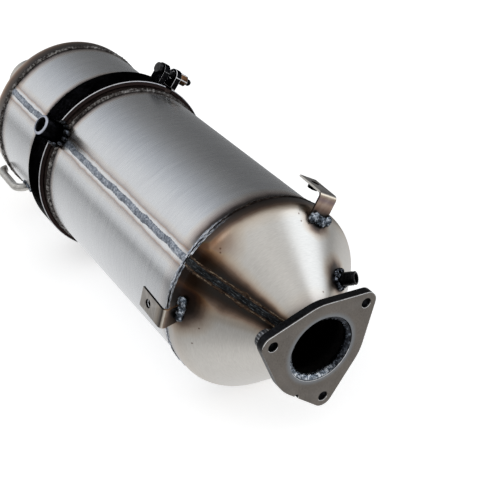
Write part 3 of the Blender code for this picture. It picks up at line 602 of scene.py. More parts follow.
def seam_lines(name):
    """Burnt weld metal: fine blue-black streaks along the bead, and a thin beige line on each ridge."""
    skin = Skin(name, 0.40, 0.9)
    signed = (skin.turn() - CONE_SEAM_TURN) * skin.off_axis()
    flat = put(skin.tree, "CombineXYZ", {0: signed, 1: skin.x * 0.11})
    streaks = put(skin.tree, "TexNoise", {"Vector": Wire(flat.outputs[0]), "Scale": 1300, "Detail": 3.0})
    patch = skin.grain(620, 4.0, roughness=0.65)
    mixed = Wire(streaks.outputs["Fac"]) * 0.65 + patch * 0.35
    core = tones(mixed, (0.40, 14, 14, 14), (0.55, 38, 40, 42), (0.66, 96, 102, 106), (0.74, 150, 156, 160))
    side = tones(mixed, (0.40, 30, 22, 18), (0.62, 78, 62, 50))
    ridge_colour = tones(patch, (0.36, 58, 48, 40), (0.62, 140, 126, 108))
    away = skin.ragged(calc("ABSOLUTE", signed), 0.0022, 190, 6.0)
    ridge = ease(away, 0.0043, 0.0047) * ease(away, 0.0052, 0.0057, 1.0, 0.0)
    broken = ease(skin.grain(150, 2.0, shift=9.0), 0.42, 0.60, 0.06, 0.9)
    colour = lay(core, side, ease(away, 0.0028, 0.0036))
    skin.set("Base Color", lay(colour, ridge_colour, ridge * broken))
    skin.bump(mixed, 0.7)
    return skin.finish


path = [(LIP + d, r) for d, r in cone_outline(0.0, 4) if 0.0006 <= d <= 0.0955]
lumps = [(-0.054, 0.0035, 0.8), (-0.072, 0.003, 0.3)]
sizes = CONE_SEAM_WIDTH, CONE_SEAM_HEIGHT
cone_seam = seam_bead("outlet_cone_seam_bead", path, CONE_SEAM_TURN, *sizes, ridged, 0.0010, lumps)
seat(cone_seam, "outlet_cone_seam", "seam_dark", seam_lines("cone seam weld"))

# Ring weld that joins the cone's lip to the filter can: one uneven bead laid round by hand. It is
# burnt dark, with a streaked blue-white highlight painted on its crown on the near side.
WELD_FOOT = CAN_RADIUS + 0.0001
RIM_WIDTH = 0.0054
RIM_HEIGHT = 0.0025


def ring_weld(name, outline, sides, waver, depth, seed):
    """A ring of weld metal whose edge wanders along the axis and whose crown is uneven."""
    piece = turned(name, outline, sides)
    middle = sum(r for _, r in outline) / len(outline)
    low = min(r for _, r in outline)
    for vertex in piece.data.vertices:
        x, y, z = vertex.co
        radius, angle = math.hypot(y, z), math.atan2(z, y)
        about = Vector((math.cos(angle), math.sin(angle), seed))
        sway = waver * noise.noise(about * 7) + waver * 0.4 * noise.noise(about * 26)
        share = (radius - low) / max(1e-6, middle - low)
        ripple = uneven(math.cos(angle) * 60, math.sin(angle) * 60, seed + x * 500)
        radius += depth * min(share, 1.5) * ripple
        vertex.co = (x + sway * min(share, 1.0), radius * math.cos(angle), radius * math.sin(angle))
    return close_up(piece, WELD_SMOOTH)


def bead_outline(x, foot, way, wide, high):
    """A low round crown on a cylinder, from x towards way."""
    rise = [
        (0.0, 0.0), (0.03, 0.55), (0.14, 0.86), (0.32, 1.0), (0.52, 0.92), (0.72, 0.68), (0.88, 0.38),
        (1.0, 0.0),
    ]
    return [(x + way * wide * share, foot + high * up) for share, up in rise]


def rim_finish(name):
    """Burnt weld metal, with a streaked blue-white highlight painted on the near side of the bead's crown.
    """
    skin = Skin(name, 0.32, 0.95)
    patch = skin.grain(1.0, 4.0, (1500, 190, 190), 0.6)
    bright = tones(patch, (0.36, 58, 60, 66), (0.48, 140, 148, 162), (0.60, 244, 246, 250))
    burnt = tones(patch, (0.36, 16, 13, 12), (0.55, 40, 33, 30), (0.74, 98, 88, 80))
    x = skin.ragged(skin.x, 0.0012, 90, 2.0)
    crown = ease(x, RIM - 0.0044, RIM - 0.0036) * ease(x, RIM - 0.0011, RIM - 0.0005, 1.0, 0.0)
    skin.set("Base Color", lay(burnt, bright, highlit_side(skin) * crown))
    skin.bump(patch, 0.6)
    return skin.finish


rim_outline = bead_outline(RIM, WELD_FOOT, -1, RIM_WIDTH, RIM_HEIGHT)
rim_weld = ring_weld("can_cone_weld_bead", rim_outline, 640, 0.0016, 0.0004, 1.7)
seat(rim_weld, "can_cone_weld", "weld", rim_finish("rim weld"))

# Joint rings: a turned steel ring welded on the end of each can. Their sloped flanks are what the
# clamp draws together. Heat and use have left them dark brown.
CLAMP_RADIUS = 0.1096
CLAMP_HALF = 0.01585
CLAMP_WALL = 0.0014
LEG_RUN = 0.0023
LEG_DROP = 0.0046
RING_HUB = 0.0025
RING_LENGTH = 0.0235
GASKET_THICK = 0.0015
leg = Vector((LEG_RUN, -LEG_DROP)).normalized()
inward = Vector((leg.y, -leg.x))


def clamp_side(depth):
    """Corner and leg tip of the clamp's section this far in from its outside, for the side towards +X."""
    on_leg = Vector((CLAMP_HALF, CLAMP_RADIUS)) + inward * depth
    along = (on_leg.y - (CLAMP_RADIUS - depth)) / -leg.y
    return on_leg + leg * along, Vector((CLAMP_HALF + LEG_RUN, CLAMP_RADIUS - LEG_DROP)) + inward * depth


def soften(piece, width, segments=2, angle=30, edge_lines=False):
    """Rounds the piece's sharp edges. If asked, the rounded edges take the piece's second finish, which is
    wear on some pieces and a painted highlight on the flange.
    """
    if edge_lines:
        piece.data.materials.append(None)
        piece.data.materials.append(None)
    settings = {"width": width, "segments": segments, "material": 1 if edge_lines else -1}
    apply(piece, "BEVEL", limit_method="ANGLE", angle_limit=math.radians(angle), **settings)
    bpy.ops.object.select_all(action="DESELECT")
    piece.select_set(True)
    bpy.ops.object.shade_smooth_by_angle(angle=SMOOTH)


def dark_steel(name, dark, light, roughness, metallic=0.9, *zones):
    """Steel with a dark, mottled skin. A zone is a colour and a measure of where it lies."""
    skin = Skin(name, roughness, metallic)
    if metallic == 1.0:
        skin.set("Specular Tint", (0.1, 0.1, 0.1, 1.0))
    patch = skin.grain(260.0, 4.0, roughness=0.6)
    mixed = patch * 0.6 + skin.grain(45.0, shift=4.0) * 0.4
    colour = tones(mixed, (0.38, *dark), (0.64, *light))
    for tint, measure in zones:
        colour = lay(colour, tint, measure(skin))
    skin.set("Base Color", colour)
    skin.set("Roughness", mixed * 0.3 + (roughness - 0.15))
    skin.bump(patch, 0.25)
    return skin.finish


ring_steel = dark_steel("joint ring steel", (30, 24, 22), (72, 61, 57), 0.42)
ring_corner = clamp_side(CLAMP_WALL + FIT)[0]
ring_bore = CAN_RADIUS + FIT
flank = (ring_corner.y - ring_bore - RING_HUB) / -leg.y
ring_face = GASKET_THICK / 2 + FIT
ring_section = [
    (ring_face, ring_bore), (ring_face, ring_corner.y), (ring_corner.x, ring_corner.y),
    (ring_corner.x + leg.x * flank, ring_bore + RING_HUB), (RING_LENGTH, ring_bore + RING_HUB),
    (RING_LENGTH, ring_bore),
]
for node, way in (("filter_joint_ring", 1), ("front_joint_ring", -1)):
    ring = turned(node + "_turned", [(JOINT + way * x, r) for x, r in ring_section])
    if way > 0:
        cut(ring, drill(SENSOR_HOLE, 0.02, hole_place))
    soften(ring, 0.0004)
    seat(ring, node, "ring_steel", ring_steel)

# Ring welds that join the joint rings and the inlet cone to the cans: rough grey machine beads. The one
# by the sensor bung is ground away for it.
BUNG_RADIUS = 0.0118
joint_weld_steel = weld_finish("joint weld", (22, 19, 18), (66, 62, 60), (150, 148, 146), 0.38, 360.0, 0.8)
for node, x, way, high, waver, depth, seed in (
    ("filter_joint_weld", JOINT_WELD, 1, 0.0026, 0.0009, 0.0007, 4.1),
    ("front_joint_weld", FRONT_JOINT_WELD, -1, 0.0026, 0.0009, 0.0007, 5.3),
    ("front_can_weld", FRONT_LIP + FIT, 1, 0.0024, 0.0010, 0.0006, 6.9),
):
    outline = bead_outline(x, WELD_FOOT, way, WELD_WIDTH, high)
    weld = ring_weld(node + "_bead", outline, 480, waver, depth, seed)
    if x == JOINT_WELD:
        cut(weld, drill(BUNG_RADIUS + FIT, 0.03, hole_place))
    seat(weld, node, "weld", joint_weld_steel)

# Clamp: a V-section band of black steel strip that draws the two joint rings together. A lug stands on
# each of its ends, and a bolt with a deep nut pulls the lugs towards each other.
CLAMP_TURN = math.radians(53.0)
CLAMP_GAP = 0.010
BOLT_RISE = 0.0145
BOLT_RADIUS = 0.004
LUG_WIDTH = 0.020
LUG_THICK = 0.008
LUG_SPREAD = 0.0095
NUT_ACROSS = 0.013
NUT_HEIGHT = 0.012
outer_corner, outer_tip = clamp_side(0.0)
inner_corner, inner_tip = clamp_side(CLAMP_WALL)
half_band = [tuple(outer_corner), tuple(outer_tip), tuple(inner_tip), tuple(inner_corner)]
band_section = [(JOINT + x, r) for x, r in half_band] + [(JOINT - x, r) for x, r in half_band[::-1]]
band = turned("clamp_band_strip", band_section)
gap_block = fresh("gap", bpy.ops.mesh.primitive_cube_add, size=1)
clamp_top = facing(JOINT, CLAMP_TURN, radius=CLAMP_RADIUS)
gap_block.data.transform(clamp_top @ Matrix.Diagonal((0.06, CLAMP_GAP, 0.03, 1)))
cut(band, gap_block)
soften(band, 0.0005)


def band_edge(skin):
    """The worn corner of the band's flat, on its outlet side."""
    return ease(skin.from_ring(JOINT + CLAMP_HALF, 0, 0.0003, 300), 0.0002, 0.0005, 0.8, 0.0)


def band_leg(skin):
    return ease(skin.x, JOINT + CLAMP_HALF + 0.0004, JOINT + CLAMP_HALF + 0.0010)


zones = ((44, 37, 36), band_leg), ((232, 232, 236), band_edge)
band_black = dark_steel("clamp band steel", (14, 14, 15), (32, 32, 34), 0.40, 1.0, *zones)
seat(band, "clamp_band", "clamp_black", band_black)
clamp_black = dark_steel("clamp lug steel", (16, 16, 17), (34, 34, 36), 0.40, 1.0)
# A bright finish for edges: wear on the lugs and the clamp nut, and a painted highlight on the flange's top
# edges.
worn_and_lit_edge = dark_steel("worn and highlit edge", (196, 197, 200), (246, 247, 248), 0.30)


def plate(name, points, push):
    """A flat outline, filled and pushed out to a plate."""
    piece = line_through(name, points)
    bpy.ops.mesh.edge_face_add()
    bpy.ops.mesh.extrude_region_move(TRANSFORM_OT_translate={"value": push})
    return close_up(piece)


def arc(cx, cy, radius, start, end, steps):
    angles = [start + (end - start) * i / steps for i in range(steps + 1)]
    return [(cx + radius * math.cos(a), cy + radius * math.sin(a)) for a in angles]


lug_place = facing(JOINT, CLAMP_TURN, radius=CLAMP_RADIUS + BOLT_RISE)
bolt_place = lug_place @ Matrix.Rotation(-math.pi / 2, 4, "X")
for node, way in (("clamp_lug_far", -1), ("clamp_lug_near", 1)):
    half = LUG_WIDTH / 2
    outline = [(-half, -BOLT_RISE - 0.004), (half, -BOLT_RISE - 0.004), (half, 0.0)]
    outline += arc(0, -0.002, half, 0.25, math.pi - 0.25, 24) + [(-half, 0.0)]
    near_face = way * LUG_SPREAD - LUG_THICK / 2
    lug = plate(node + "_block", [(x, near_face, z) for x, z in outline], (0, LUG_THICK, 0))
    lug.data.transform(lug_place)
    cut(lug, tube("blank", JOINT - 0.03, JOINT + 0.03, CLAMP_RADIUS + FIT, sides=240))
    cut(lug, drill(BOLT_RADIUS + FIT, 0.06, bolt_place))
    soften(lug, 0.0005, edge_lines=True)
    seat(lug, node, "clamp_black", clamp_black, worn_and_lit_edge)


def upright(name, outline, place, sides=72):
    """A turned piece about the local Z of a place. Its outline is (height, radius)."""
    piece = turned(name, outline, sides)
    piece.data.transform(place @ Matrix.Rotation(-math.pi / 2, 4, "Y"))
    return piece


def thread(low, high, radius, pitch, depth):
    """The outline of a screw thread from low to high."""
    points = []
    for i in range(int((high - low) / pitch)):
        for share, drop in ((0.0, depth), (0.38, 0.0), (0.58, 0.0), (0.92, depth)):
            points.append((low + pitch * (i + share), radius - drop))
    return points + [(high, radius - depth)]


def hexagon(name, across, height, place):
    """A six-sided blank of this width across its flats, about the local Z of a place."""
    corner = across / 2 / math.cos(math.pi / 6)
    blank = fresh(name, bpy.ops.mesh.primitive_cylinder_add, vertices=6, radius=corner, depth=height)
    blank.data.transform(place)
    return blank


head = LUG_SPREAD + LUG_THICK / 2 + FIT
bolt_end = head + NUT_HEIGHT + 0.008
bolt_outline = [(-head - 0.005, 0.0), (-head - 0.005, 0.0060), (-head - 0.0045, 0.0065), (-head, 0.0065)]
bolt_outline += [(-head, BOLT_RADIUS), (head - 0.001, BOLT_RADIUS)]
bolt_outline += thread(head, bolt_end - 0.001, BOLT_RADIUS, 0.00125, 0.0007)
bolt_outline += [(bolt_end, BOLT_RADIUS - 0.0012), (bolt_end, 0.0)]
bolt = upright("clamp_bolt_threaded", bolt_outline, bolt_place, 48)
seat(bolt, "clamp_bolt", "clamp_black", dark_steel("bolt steel", (20, 20, 21), (62, 62, 64), 0.34))
nut_place = bolt_place @ Matrix.Translation((0, 0, head + NUT_HEIGHT / 2))
nut = hexagon("clamp_nut_hex", NUT_ACROSS, NUT_HEIGHT, nut_place @ Matrix.Rotation(math.pi / 6, 4, "Z"))
cut(nut, drill(BOLT_RADIUS + 0.0001, 0.03, bolt_place @ Matrix.Translation((0, 0, head))))
soften(nut, 0.0007, 3, edge_lines=True)
nut_bronze = dark_steel("nut bronze", (64, 42, 26), (122, 90, 62), 0.32)
seat(nut, "clamp_nut", "nut_bronze", nut_bronze, worn_and_lit_edge)

# Sensor bung: a black turned boss with a threaded bore for the temperature sensor. It stands on the
# joint ring and the can, and a ring of glossy black weld blobs holds it.
BUNG_REACH = 0.1333
BUNG_BORE = 0.0079
bung_foot = CAN_RADIUS - 0.004
bung_outline = [
    (bung_foot, BUNG_RADIUS), (BUNG_REACH - 0.0012, BUNG_RADIUS),
    (BUNG_REACH - 0.0004, BUNG_RADIUS - 0.0004), (BUNG_REACH, BUNG_RADIUS - 0.0012),
    (BUNG_REACH, BUNG_BORE + 0.001),
]
bore_thread = thread(bung_foot, BUNG_REACH - 0.001, BUNG_BORE, 0.0015, 0.0008)
bung_outline += [(z, 2 * BUNG_BORE - r + 0.0002) for z, r in bore_thread][::-1]


def bung_seat():
    """The steps of the clamp, the ring, its weld and the can, a gap larger, that the bung is milled to."""
    core = 0.09
    band = CLAMP_RADIUS + FIT
    tip = JOINT + CLAMP_HALF + LEG_RUN + FIT
    hub = CAN_RADIUS + 2 * FIT + RING_HUB
    sheet = CAN_RADIUS + 2 * FIT
    return turned("blank", [
        (JOINT, core), (JOINT, band), (JOINT + CLAMP_HALF + FIT, band), (tip, CLAMP_RADIUS - LEG_DROP),
        (tip, hub), (JOINT_WELD, hub), (JOINT_WELD + 0.0020, CAN_RADIUS + 0.0030),
        (JOINT_WELD + 0.0043, sheet), (LIP, sheet), (LIP, core),
    ], 120)


def bung_mouth(skin):
    """The bare metal of the bung's turned mouth, by distance along its own axis."""
    out = skin.along((0.0, math.cos(BUNG_TURN), math.sin(BUNG_TURN)))
    return ease(out, BUNG_REACH - 0.0016, BUNG_REACH - 0.0008)


def blobs(name, balls, voxel, depth, seed):
    """Weld metal laid in drops: balls of these centres and sizes, run together and left uneven."""
    made = []
    for centre, size in balls:
        ball = fresh("drop", bpy.ops.mesh.primitive_ico_sphere_add, subdivisions=3, radius=1)
        ball.data.transform(Matrix.Translation(centre) @ Matrix.Diagonal((*size, 1)))
        made.append(ball)
    for ball in made:
        ball.select_set(True)
    bpy.ops.object.join()
    piece = bpy.context.object
    piece.name = piece.data.name = name
    apply(piece, "REMESH", mode="VOXEL", voxel_size=voxel)
    apply(piece, "SMOOTH", factor=0.6, iterations=3)
    for vertex in piece.data.vertices:
        at = vertex.co / 0.0026 + Vector((seed, seed, seed))
        vertex.co += vertex.normal * depth * (noise.noise(at) + 0.5 * noise.noise(at * 2.6))
    bpy.ops.object.shade_smooth_by_angle(angle=WELD_SMOOTH)
    return piece


def ring_of_drops(count, radius, tall, size, level):
    """Drops round a stub. Size and level say how large each is and how high it lies, by its number."""
    drops = []
    for i in range(count):
        angle, wide = math.tau * i / count, size(i)
        centre = (radius * math.cos(angle), radius * math.sin(angle), level(i))
        drops.append((centre, (wide, wide, wide * tall)))
    return drops


bung_place = facing(BUNG_AT, BUNG_TURN)
bung = upright("sensor_bung_turned", bung_outline, bung_place)
cut(bung, bung_seat())
zone = ((178, 182, 194), bung_mouth)
bung_steel = dark_steel("bung steel", (14, 14, 15), (32, 32, 34), 0.34, 1.0, zone)
seat(bung, "sensor_bung", "black_steel", bung_steel)
drops = ring_of_drops(
    11, 0.0128, 1.5, lambda i: 0.0030 + 0.0005 * math.sin(i * 2.3),
    lambda i: CLAMP_RADIUS - 0.0015 - 0.003 * max(0.0, math.cos(math.tau * i / 11)),
)
bung_weld = blobs("sensor_bung_weld_drops", drops, 0.0005, 0.0005, 2.0)
bung_weld.data.transform(bung_place)
cut(bung_weld, bung_seat())
cut(bung_weld, drill(BUNG_RADIUS + FIT, 0.08, facing(BUNG_AT, BUNG_TURN, radius=0.12)))
gloss_black = weld_finish("glossy black weld", (8, 8, 9), (22, 23, 25), (104, 110, 120), 0.24, 300.0, 0.5)
seat(bung_weld, "sensor_bung_weld", "black_steel", gloss_black)

# Pressure port: a short threaded black stub that opens through the cone's wall, with a collar of weld.
# The pipe to the pressure sensor screws onto it.
PORT_RADIUS = 0.0069
PORT_BORE = 0.0045
PORT_LENGTH = 0.0176
port_foot = -0.003
port_outline = [(port_foot, PORT_RADIUS - 0.0006), (0.0052, PORT_RADIUS - 0.0006)]
port_outline += thread(0.0056, PORT_LENGTH - 0.0022, PORT_RADIUS, 0.0015, 0.0009)
port_outline += [
    (PORT_LENGTH - 0.0018, PORT_RADIUS - 0.0002), (PORT_LENGTH - 0.0006, PORT_RADIUS - 0.0002),
    (PORT_LENGTH, PORT_RADIUS - 0.0008), (PORT_LENGTH, PORT_BORE + 0.0006),
    (PORT_LENGTH - 0.0006, PORT_BORE), (port_foot, PORT_BORE),
]
port = upright("pressure_port_stub", port_outline, port_place)
port_steel = dark_steel("black fitting steel", (12, 12, 13), (32, 32, 34), 0.34)
seat(port, "pressure_port", "black_steel", port_steel)
drops = ring_of_drops(
    13, 0.0088, 1.35, lambda i: 0.0027 + 0.0006 * math.sin(i * 1.9 + 1),
    lambda i: 0.0004 + 0.0008 * math.sin(i * 2.7),
)
port_weld = blobs("pressure_port_weld_drops", drops, 0.00045, 0.0005, 5.0)
port_weld.data.transform(port_place)
cut(port_weld, cone_blank())
cut(port_weld, drill(PORT_RADIUS + FIT, 0.04, port_place))
port_weld_steel = weld_finish("port weld", (10, 11, 13), (30, 33, 38), (150, 158, 172), 0.22, 330.0, 0.6)
seat(port_weld, "pressure_port_weld", "weld", port_weld_steel)

# Brackets: two angle strips of bent sheet that carry a heat shield. Each stands on the cone on a foot of
# weld, its tab runs back over the can, and a clip nut sits under the tab's hole.
LOWER_TURN = math.radians(167.5)
STRIP_WIDTH = 0.021
STRIP_THICK = 0.002
TAB_LEVEL = 0.1212
TAB_LENGTH = 0.0405
TAB_HOLE = 0.00425
HOLE_INSET = 0.0135
CLIP_ACROSS = 0.0096
CLIP_HEIGHT = 0.0038
CLIP_BORE = 0.0033
VIOLET = (104, 80, 84)
# Heat colours by millimetres along the strip: from the weld, past the bend at 0, to the tab. The light
# stops about the bend are a painted highlight, and the dark stops beside the bend on the lower tab are
# painted shade.
BANDS_START = -22
BANDS_END = 14
UPPER_HEAT_AND_LIGHT = [
    (BANDS_START, *SOOT_AND_SHADE, 0.9), (-17, *BROWN, 0.85), (-12, 142, 114, 96, 0.7), (-8, *VIOLET, 0.75),
    (-5.5, 120, 94, 80, 0.7), (-3.2, 214, 196, 174, 0.7), (-1.4, 236, 222, 200, 0.75),
    (0, 120, 112, 106, 0.6), (4, 104, 102, 102, 0.45), (BANDS_END, 104, 104, 104, 0.35),
]
LOWER_HEAT_AND_LIGHT = [
    (BANDS_START, *SOOT_AND_SHADE, 0.95), (-12, 38, 29, 25, 0.92), (-7.5, 60, 45, 37, 0.9), (-4.5, 80, 61, 50, 0.88),
    (-2.4, 124, 106, 90, 0.8), (-1.0, 240, 232, 220, 0.9), (0.4, 226, 216, 202, 0.8),
    (2.2, 62, 54, 48, 0.85), (5.5, 86, 78, 71, 0.7), (BANDS_END, *STRAW, 0.0),
]


def thicken(path, thick):
    """The closed outline of a strip of this thickness along a path."""
    left, right = [], []
    for i, point in enumerate(path):
        before, after = path[max(i - 1, 0)], path[min(i + 1, len(path) - 1)]
        way = Vector((after[0] - before[0], after[1] - before[1])).normalized()
        side = Vector((-way.y, way.x)) * thick / 2
        left.append((point[0] + side.x, point[1] + side.y))
        right.append((point[0] - side.x, point[1] - side.y))
    return left + right[::-1]


def bracket_finish(name, place, hole, bands, tab_edge_shading, leg_edge_shading):
    """Brushed strip with the weld's heat colours across it and a painted highlight and shade by the bend,
    painted lines of highlight and shade along its cut edges, and a hole wall painted black as shade.
    """
    skin, colour = brushed(name, (112, 106, 101), (206, 202, 197), 0.30, 1900, 0.25)
    out, across, back = place.col[2].xyz, place.col[1].xyz, -place.col[0].xyz
    start = TAB_LEVEL + STRIP_THICK / 2 + back.dot(place.translation)
    along = skin.ragged(skin.along(out) + skin.along(back) - start, 0.0016, 160)
    span = BANDS_END - BANDS_START
    stops = [((at - BANDS_START) / span, *colour_there) for at, *colour_there in bands]
    colour = heat(colour, along - BANDS_START / 1000, span / 1000, stops, mode="MIX")
    # Thin lines painted along the strip's cut edges, one colour on the tab and another on the leg: a
    # painted highlight on one and painted shade on the other.
    edge = lay(leg_edge_shading, tab_edge_shading, ease(along, -0.0008, 0.0022))
    off = calc("ABSOLUTE", skin.along(across) - across.dot(place.translation))
    colour = lay(colour, edge, ease(off, STRIP_WIDTH / 2 - 0.0003, STRIP_WIDTH / 2 - 0.0001))
    # The hole's wall is painted near-black with the soot colour: painted shade inside the hole.
    aside, ahead = (skin.along(way) - way.dot(hole) for way in (across, back))
    from_hole = calc("SQRT", aside * aside + ahead * ahead)
    colour = lay(colour, SOOT_AND_SHADE, ease(from_hole, TAB_HOLE + 0.0002, TAB_HOLE + 0.0005, 1.0, 0.0))
    skin.set("Base Color", colour)
    return skin.finish


def bracket(prefix, turn, root_at, bend_at, foot, *tints):
    """Seats a strip, its clip nut and its foot of weld, whose length, rise and sideways shift are given."""
    place = facing(bend_at, turn, skew=math.radians(-5))
    surface = cone_radius(CONE_REACH + root_at)
    way = Vector((bend_at - root_at, TAB_LEVEL - surface)).normalized()
    root = (-way.x * (TAB_LEVEL - surface + 0.006) / way.y, surface - 0.006)
    end = (-TAB_LENGTH, TAB_LEVEL + 0.0008)
    path = [root] + rounded((0, TAB_LEVEL), root, end, 0.004, 12) + [end]
    outline = [(x, -STRIP_WIDTH / 2, z) for x, z in thicken(path, STRIP_THICK)]
    strip = plate(prefix + "_bracket_strip", outline, (0, STRIP_WIDTH, 0))
    strip.data.transform(place)
    hole_place = place @ Matrix.Translation((-TAB_LENGTH + HOLE_INSET, 0, TAB_LEVEL))
    cut(strip, drill(TAB_HOLE, 0.016, hole_place))
    cut(strip, cone_blank())
    soften(strip, 0.00035)
    strip_finish = bracket_finish(prefix + " bracket steel", place, hole_place.translation, *tints)
    seat(strip, prefix + "_bracket", "bracket_steel", strip_finish)
    below = Matrix.Translation((0, 0, -STRIP_THICK / 2 - FIT - CLIP_HEIGHT / 2))
    nut = hexagon(prefix + "_clip_nut", CLIP_ACROSS, CLIP_HEIGHT, hole_place @ below)
    cut(nut, drill(CLIP_BORE, 0.02, hole_place))
    soften(nut, 0.0001)
    seat(nut, prefix + "_bracket_nut", "black_steel", clip_black_and_shade)
    length, rise, shift = foot
    drops = []
    for i in range(7):
        aside = (i / 6 - 0.5) * STRIP_WIDTH * 0.94 + shift
        size = 0.0034 + 0.0009 * math.sin(i * 2.1 + rise * 900)
        level = surface + rise * (0.22 + 0.20 * math.sin(i * 1.3))
        x = way.x * (level - TAB_LEVEL) / way.y + STRIP_THICK / 2 + length * 0.30
        sizes = (size * 0.8 + length * 0.22, size * 0.95, size * 0.75 + rise * 0.42)
        drops.append(((x, aside, level - 0.001), sizes))
    weld = blobs(prefix + "_bracket_weld_drops", drops, 0.0005, 0.0007, turn)
    weld.data.transform(place)
    cut(weld, cone_blank())
    seat(weld, prefix + "_bracket_weld", "weld", bracket_weld_steel)


# The clip nut is near-black, darker than the other black fittings: black steel with painted shade under the
# tab.
clip_black_and_shade = dark_steel("clip nut steel in painted shade", (6, 6, 7), (16, 16, 17), 0.50, 1.0)
weld_tones = (20, 21, 24), (78, 86, 96), (206, 214, 224)
bracket_weld_steel = weld_finish("bracket weld", *weld_tones, 0.24, 330.0, 0.7)
upper = ("upper", UPPER_TURN, -0.0821, -0.0824, (0.0048, 0.0074, 0.0016))
bracket(*upper, UPPER_HEAT_AND_LIGHT, (176, 173, 168), (50, 42, 38))
lower = ("lower", LOWER_TURN, -0.0929, -0.0864, (0.0094, 0.0032, 0.0080))
bracket(*lower, LOWER_HEAT_AND_LIGHT, (24, 22, 21), (176, 140, 108))

# Outlet flange: a three-bolt plate cut from thick dark steel, with rounded corners and a small notch in
# one edge. The exhaust pipe bolts to it.
PLATE_THICK = 0.0095
PLATE_TURN = math.radians(34.2)
PLATE_BORE = 0.0351
BOLT_CIRCLE = 0.0598
BOLT_HOLE = 0.00525
CORNER_RADIUS = 0.0115
NOTCH_TURN = math.radians(-120)
NOTCH_AT = 0.05336
NOTCH_RADIUS = 0.0028
MIDDLES = (0.0505, 0.0528, 0.0505)


def on_face(radius, turn):
    """A place on the flange's face, by distance and turn from the axis, with local Z along the axis."""
    place = Matrix.Translation((0, radius * math.cos(turn), radius * math.sin(turn)))
    return place @ Matrix.Rotation(math.pi / 2, 4, "Y")


def flange_finish(name):
    """Mill-finish plate: a clouded face with a bluish ring round the bore, and darker cut sides."""
    skin = Skin(name, 0.4, 0.92)
    patch = skin.grain(520, 4.0, roughness=0.65)
    mixed = patch * 0.55 + skin.grain(38, shift=1.0) * 0.45
    colour = tones(mixed, (0.34, 92, 88, 84), (0.66, 120, 114, 108))
    ring = ease(patch * 0.0016 + skin.off_axis(), 0.0362, 0.0420, 0.55, 0.0)
    colour = lay(colour, (132, 140, 148), ring)
    side = tones(mixed, (0.4, 14, 14, 15), (0.62, 38, 40, 44))
    skin.set("Base Color", lay(colour, side, calc("LESS_THAN", skin.x, -0.0012)))
    skin.set("Roughness", mixed * 0.35 + 0.24)
    skin.bump(patch, 0.22)
    return skin.finish


swings = [math.acos((middle - CORNER_RADIUS) / BOLT_CIRCLE) for middle in MIDDLES]
corner_turns = [PLATE_TURN + math.tau * i / 3 for i in range(3)]
edge = []
for i, at in enumerate(corner_turns):
    centre = (BOLT_CIRCLE * math.cos(at), BOLT_CIRCLE * math.sin(at))
    edge += arc(*centre, CORNER_RADIUS, at - swings[i - 1], at + swings[i], 28)
    edge += arc(0, 0, MIDDLES[i], at + swings[i], at + math.tau / 3 - swings[i], 12)
flange = plate("outlet_flange_plate", [(0.0, y, z) for y, z in edge], (-PLATE_THICK, 0, 0))
cut(flange, drill(PLATE_BORE, 0.03, on_face(0.0, 0.0), 180))
for at in corner_turns:
    cut(flange, drill(BOLT_HOLE, 0.03, on_face(BOLT_CIRCLE, at)))
cut(flange, drill(NOTCH_RADIUS, 0.03, on_face(NOTCH_AT, NOTCH_TURN), 32))
bpy.ops.object.mode_set(mode="EDIT")
bpy.ops.mesh.select_all(action="SELECT")
bpy.ops.mesh.remove_doubles(threshold=0.0003)
bpy.ops.object.mode_set(mode="OBJECT")
soften(flange, 0.0009, 2, 50, edge_lines=True)
# Only the upward-facing bevels round the front face keep the bright edge finish: a painted highlight along
# the plate's top edges.
for face in flange.data.polygons:
    if face.material_index == 1 and (face.normal.z < 0.15 or face.center.x < -0.002):
        face.material_index = 0
seat(flange, "outlet_flange", "flange_steel", flange_finish("flange steel"), worn_and_lit_edge)

# Weld in the flange bore: an uneven shiny bead that joins the cone's neck to the plate. It is fullest at
# the bottom, where a highlight is painted on it.
neck_end = LIP + NECK_END + FIT
throat = NECK_RADIUS - WALL
bore_outline = [
    (neck_end, NECK_RADIUS), (neck_end + 0.0014, NECK_RADIUS + 0.00022),
    (neck_end + 0.0030, NECK_RADIUS + 0.00022), (neck_end + 0.0032, NECK_RADIUS - 0.0004),
    (neck_end + 0.0028, NECK_RADIUS - 0.0012),
    (neck_end + 0.0018, throat - 0.0012), (neck_end + 0.0002, throat - 0.0022),
    (neck_end - 0.0018, throat - 0.0024), (neck_end - 0.0040, throat - 0.0018),
    (neck_end - 0.0052, throat - 0.0002), (neck_end, throat - 0.0002),
]


def bore_finish(name):
    """Weld metal with a painted highlight where it is full, at the bottom of the bore, and painted darker
    round the rest as shade.
    """
    skin = Skin(name, 0.24, 0.95)
    patch = skin.grain(300, 4.0, roughness=0.62)
    downward = skin.y * (-0.55 / NECK_RADIUS) + skin.z * (-0.84 / NECK_RADIUS)
    bright = tones(patch, (0.36, 34, 36, 40), (0.5, 120, 130, 142), (0.64, 236, 240, 244))
    dull = tones(patch, (0.36, 14, 14, 16), (0.54, 46, 49, 55), (0.74, 120, 128, 138))
    skin.set("Base Color", lay(dull, bright, ease(downward, 0.35, 0.80)))
    skin.bump(patch, 0.9)
    return skin.finish


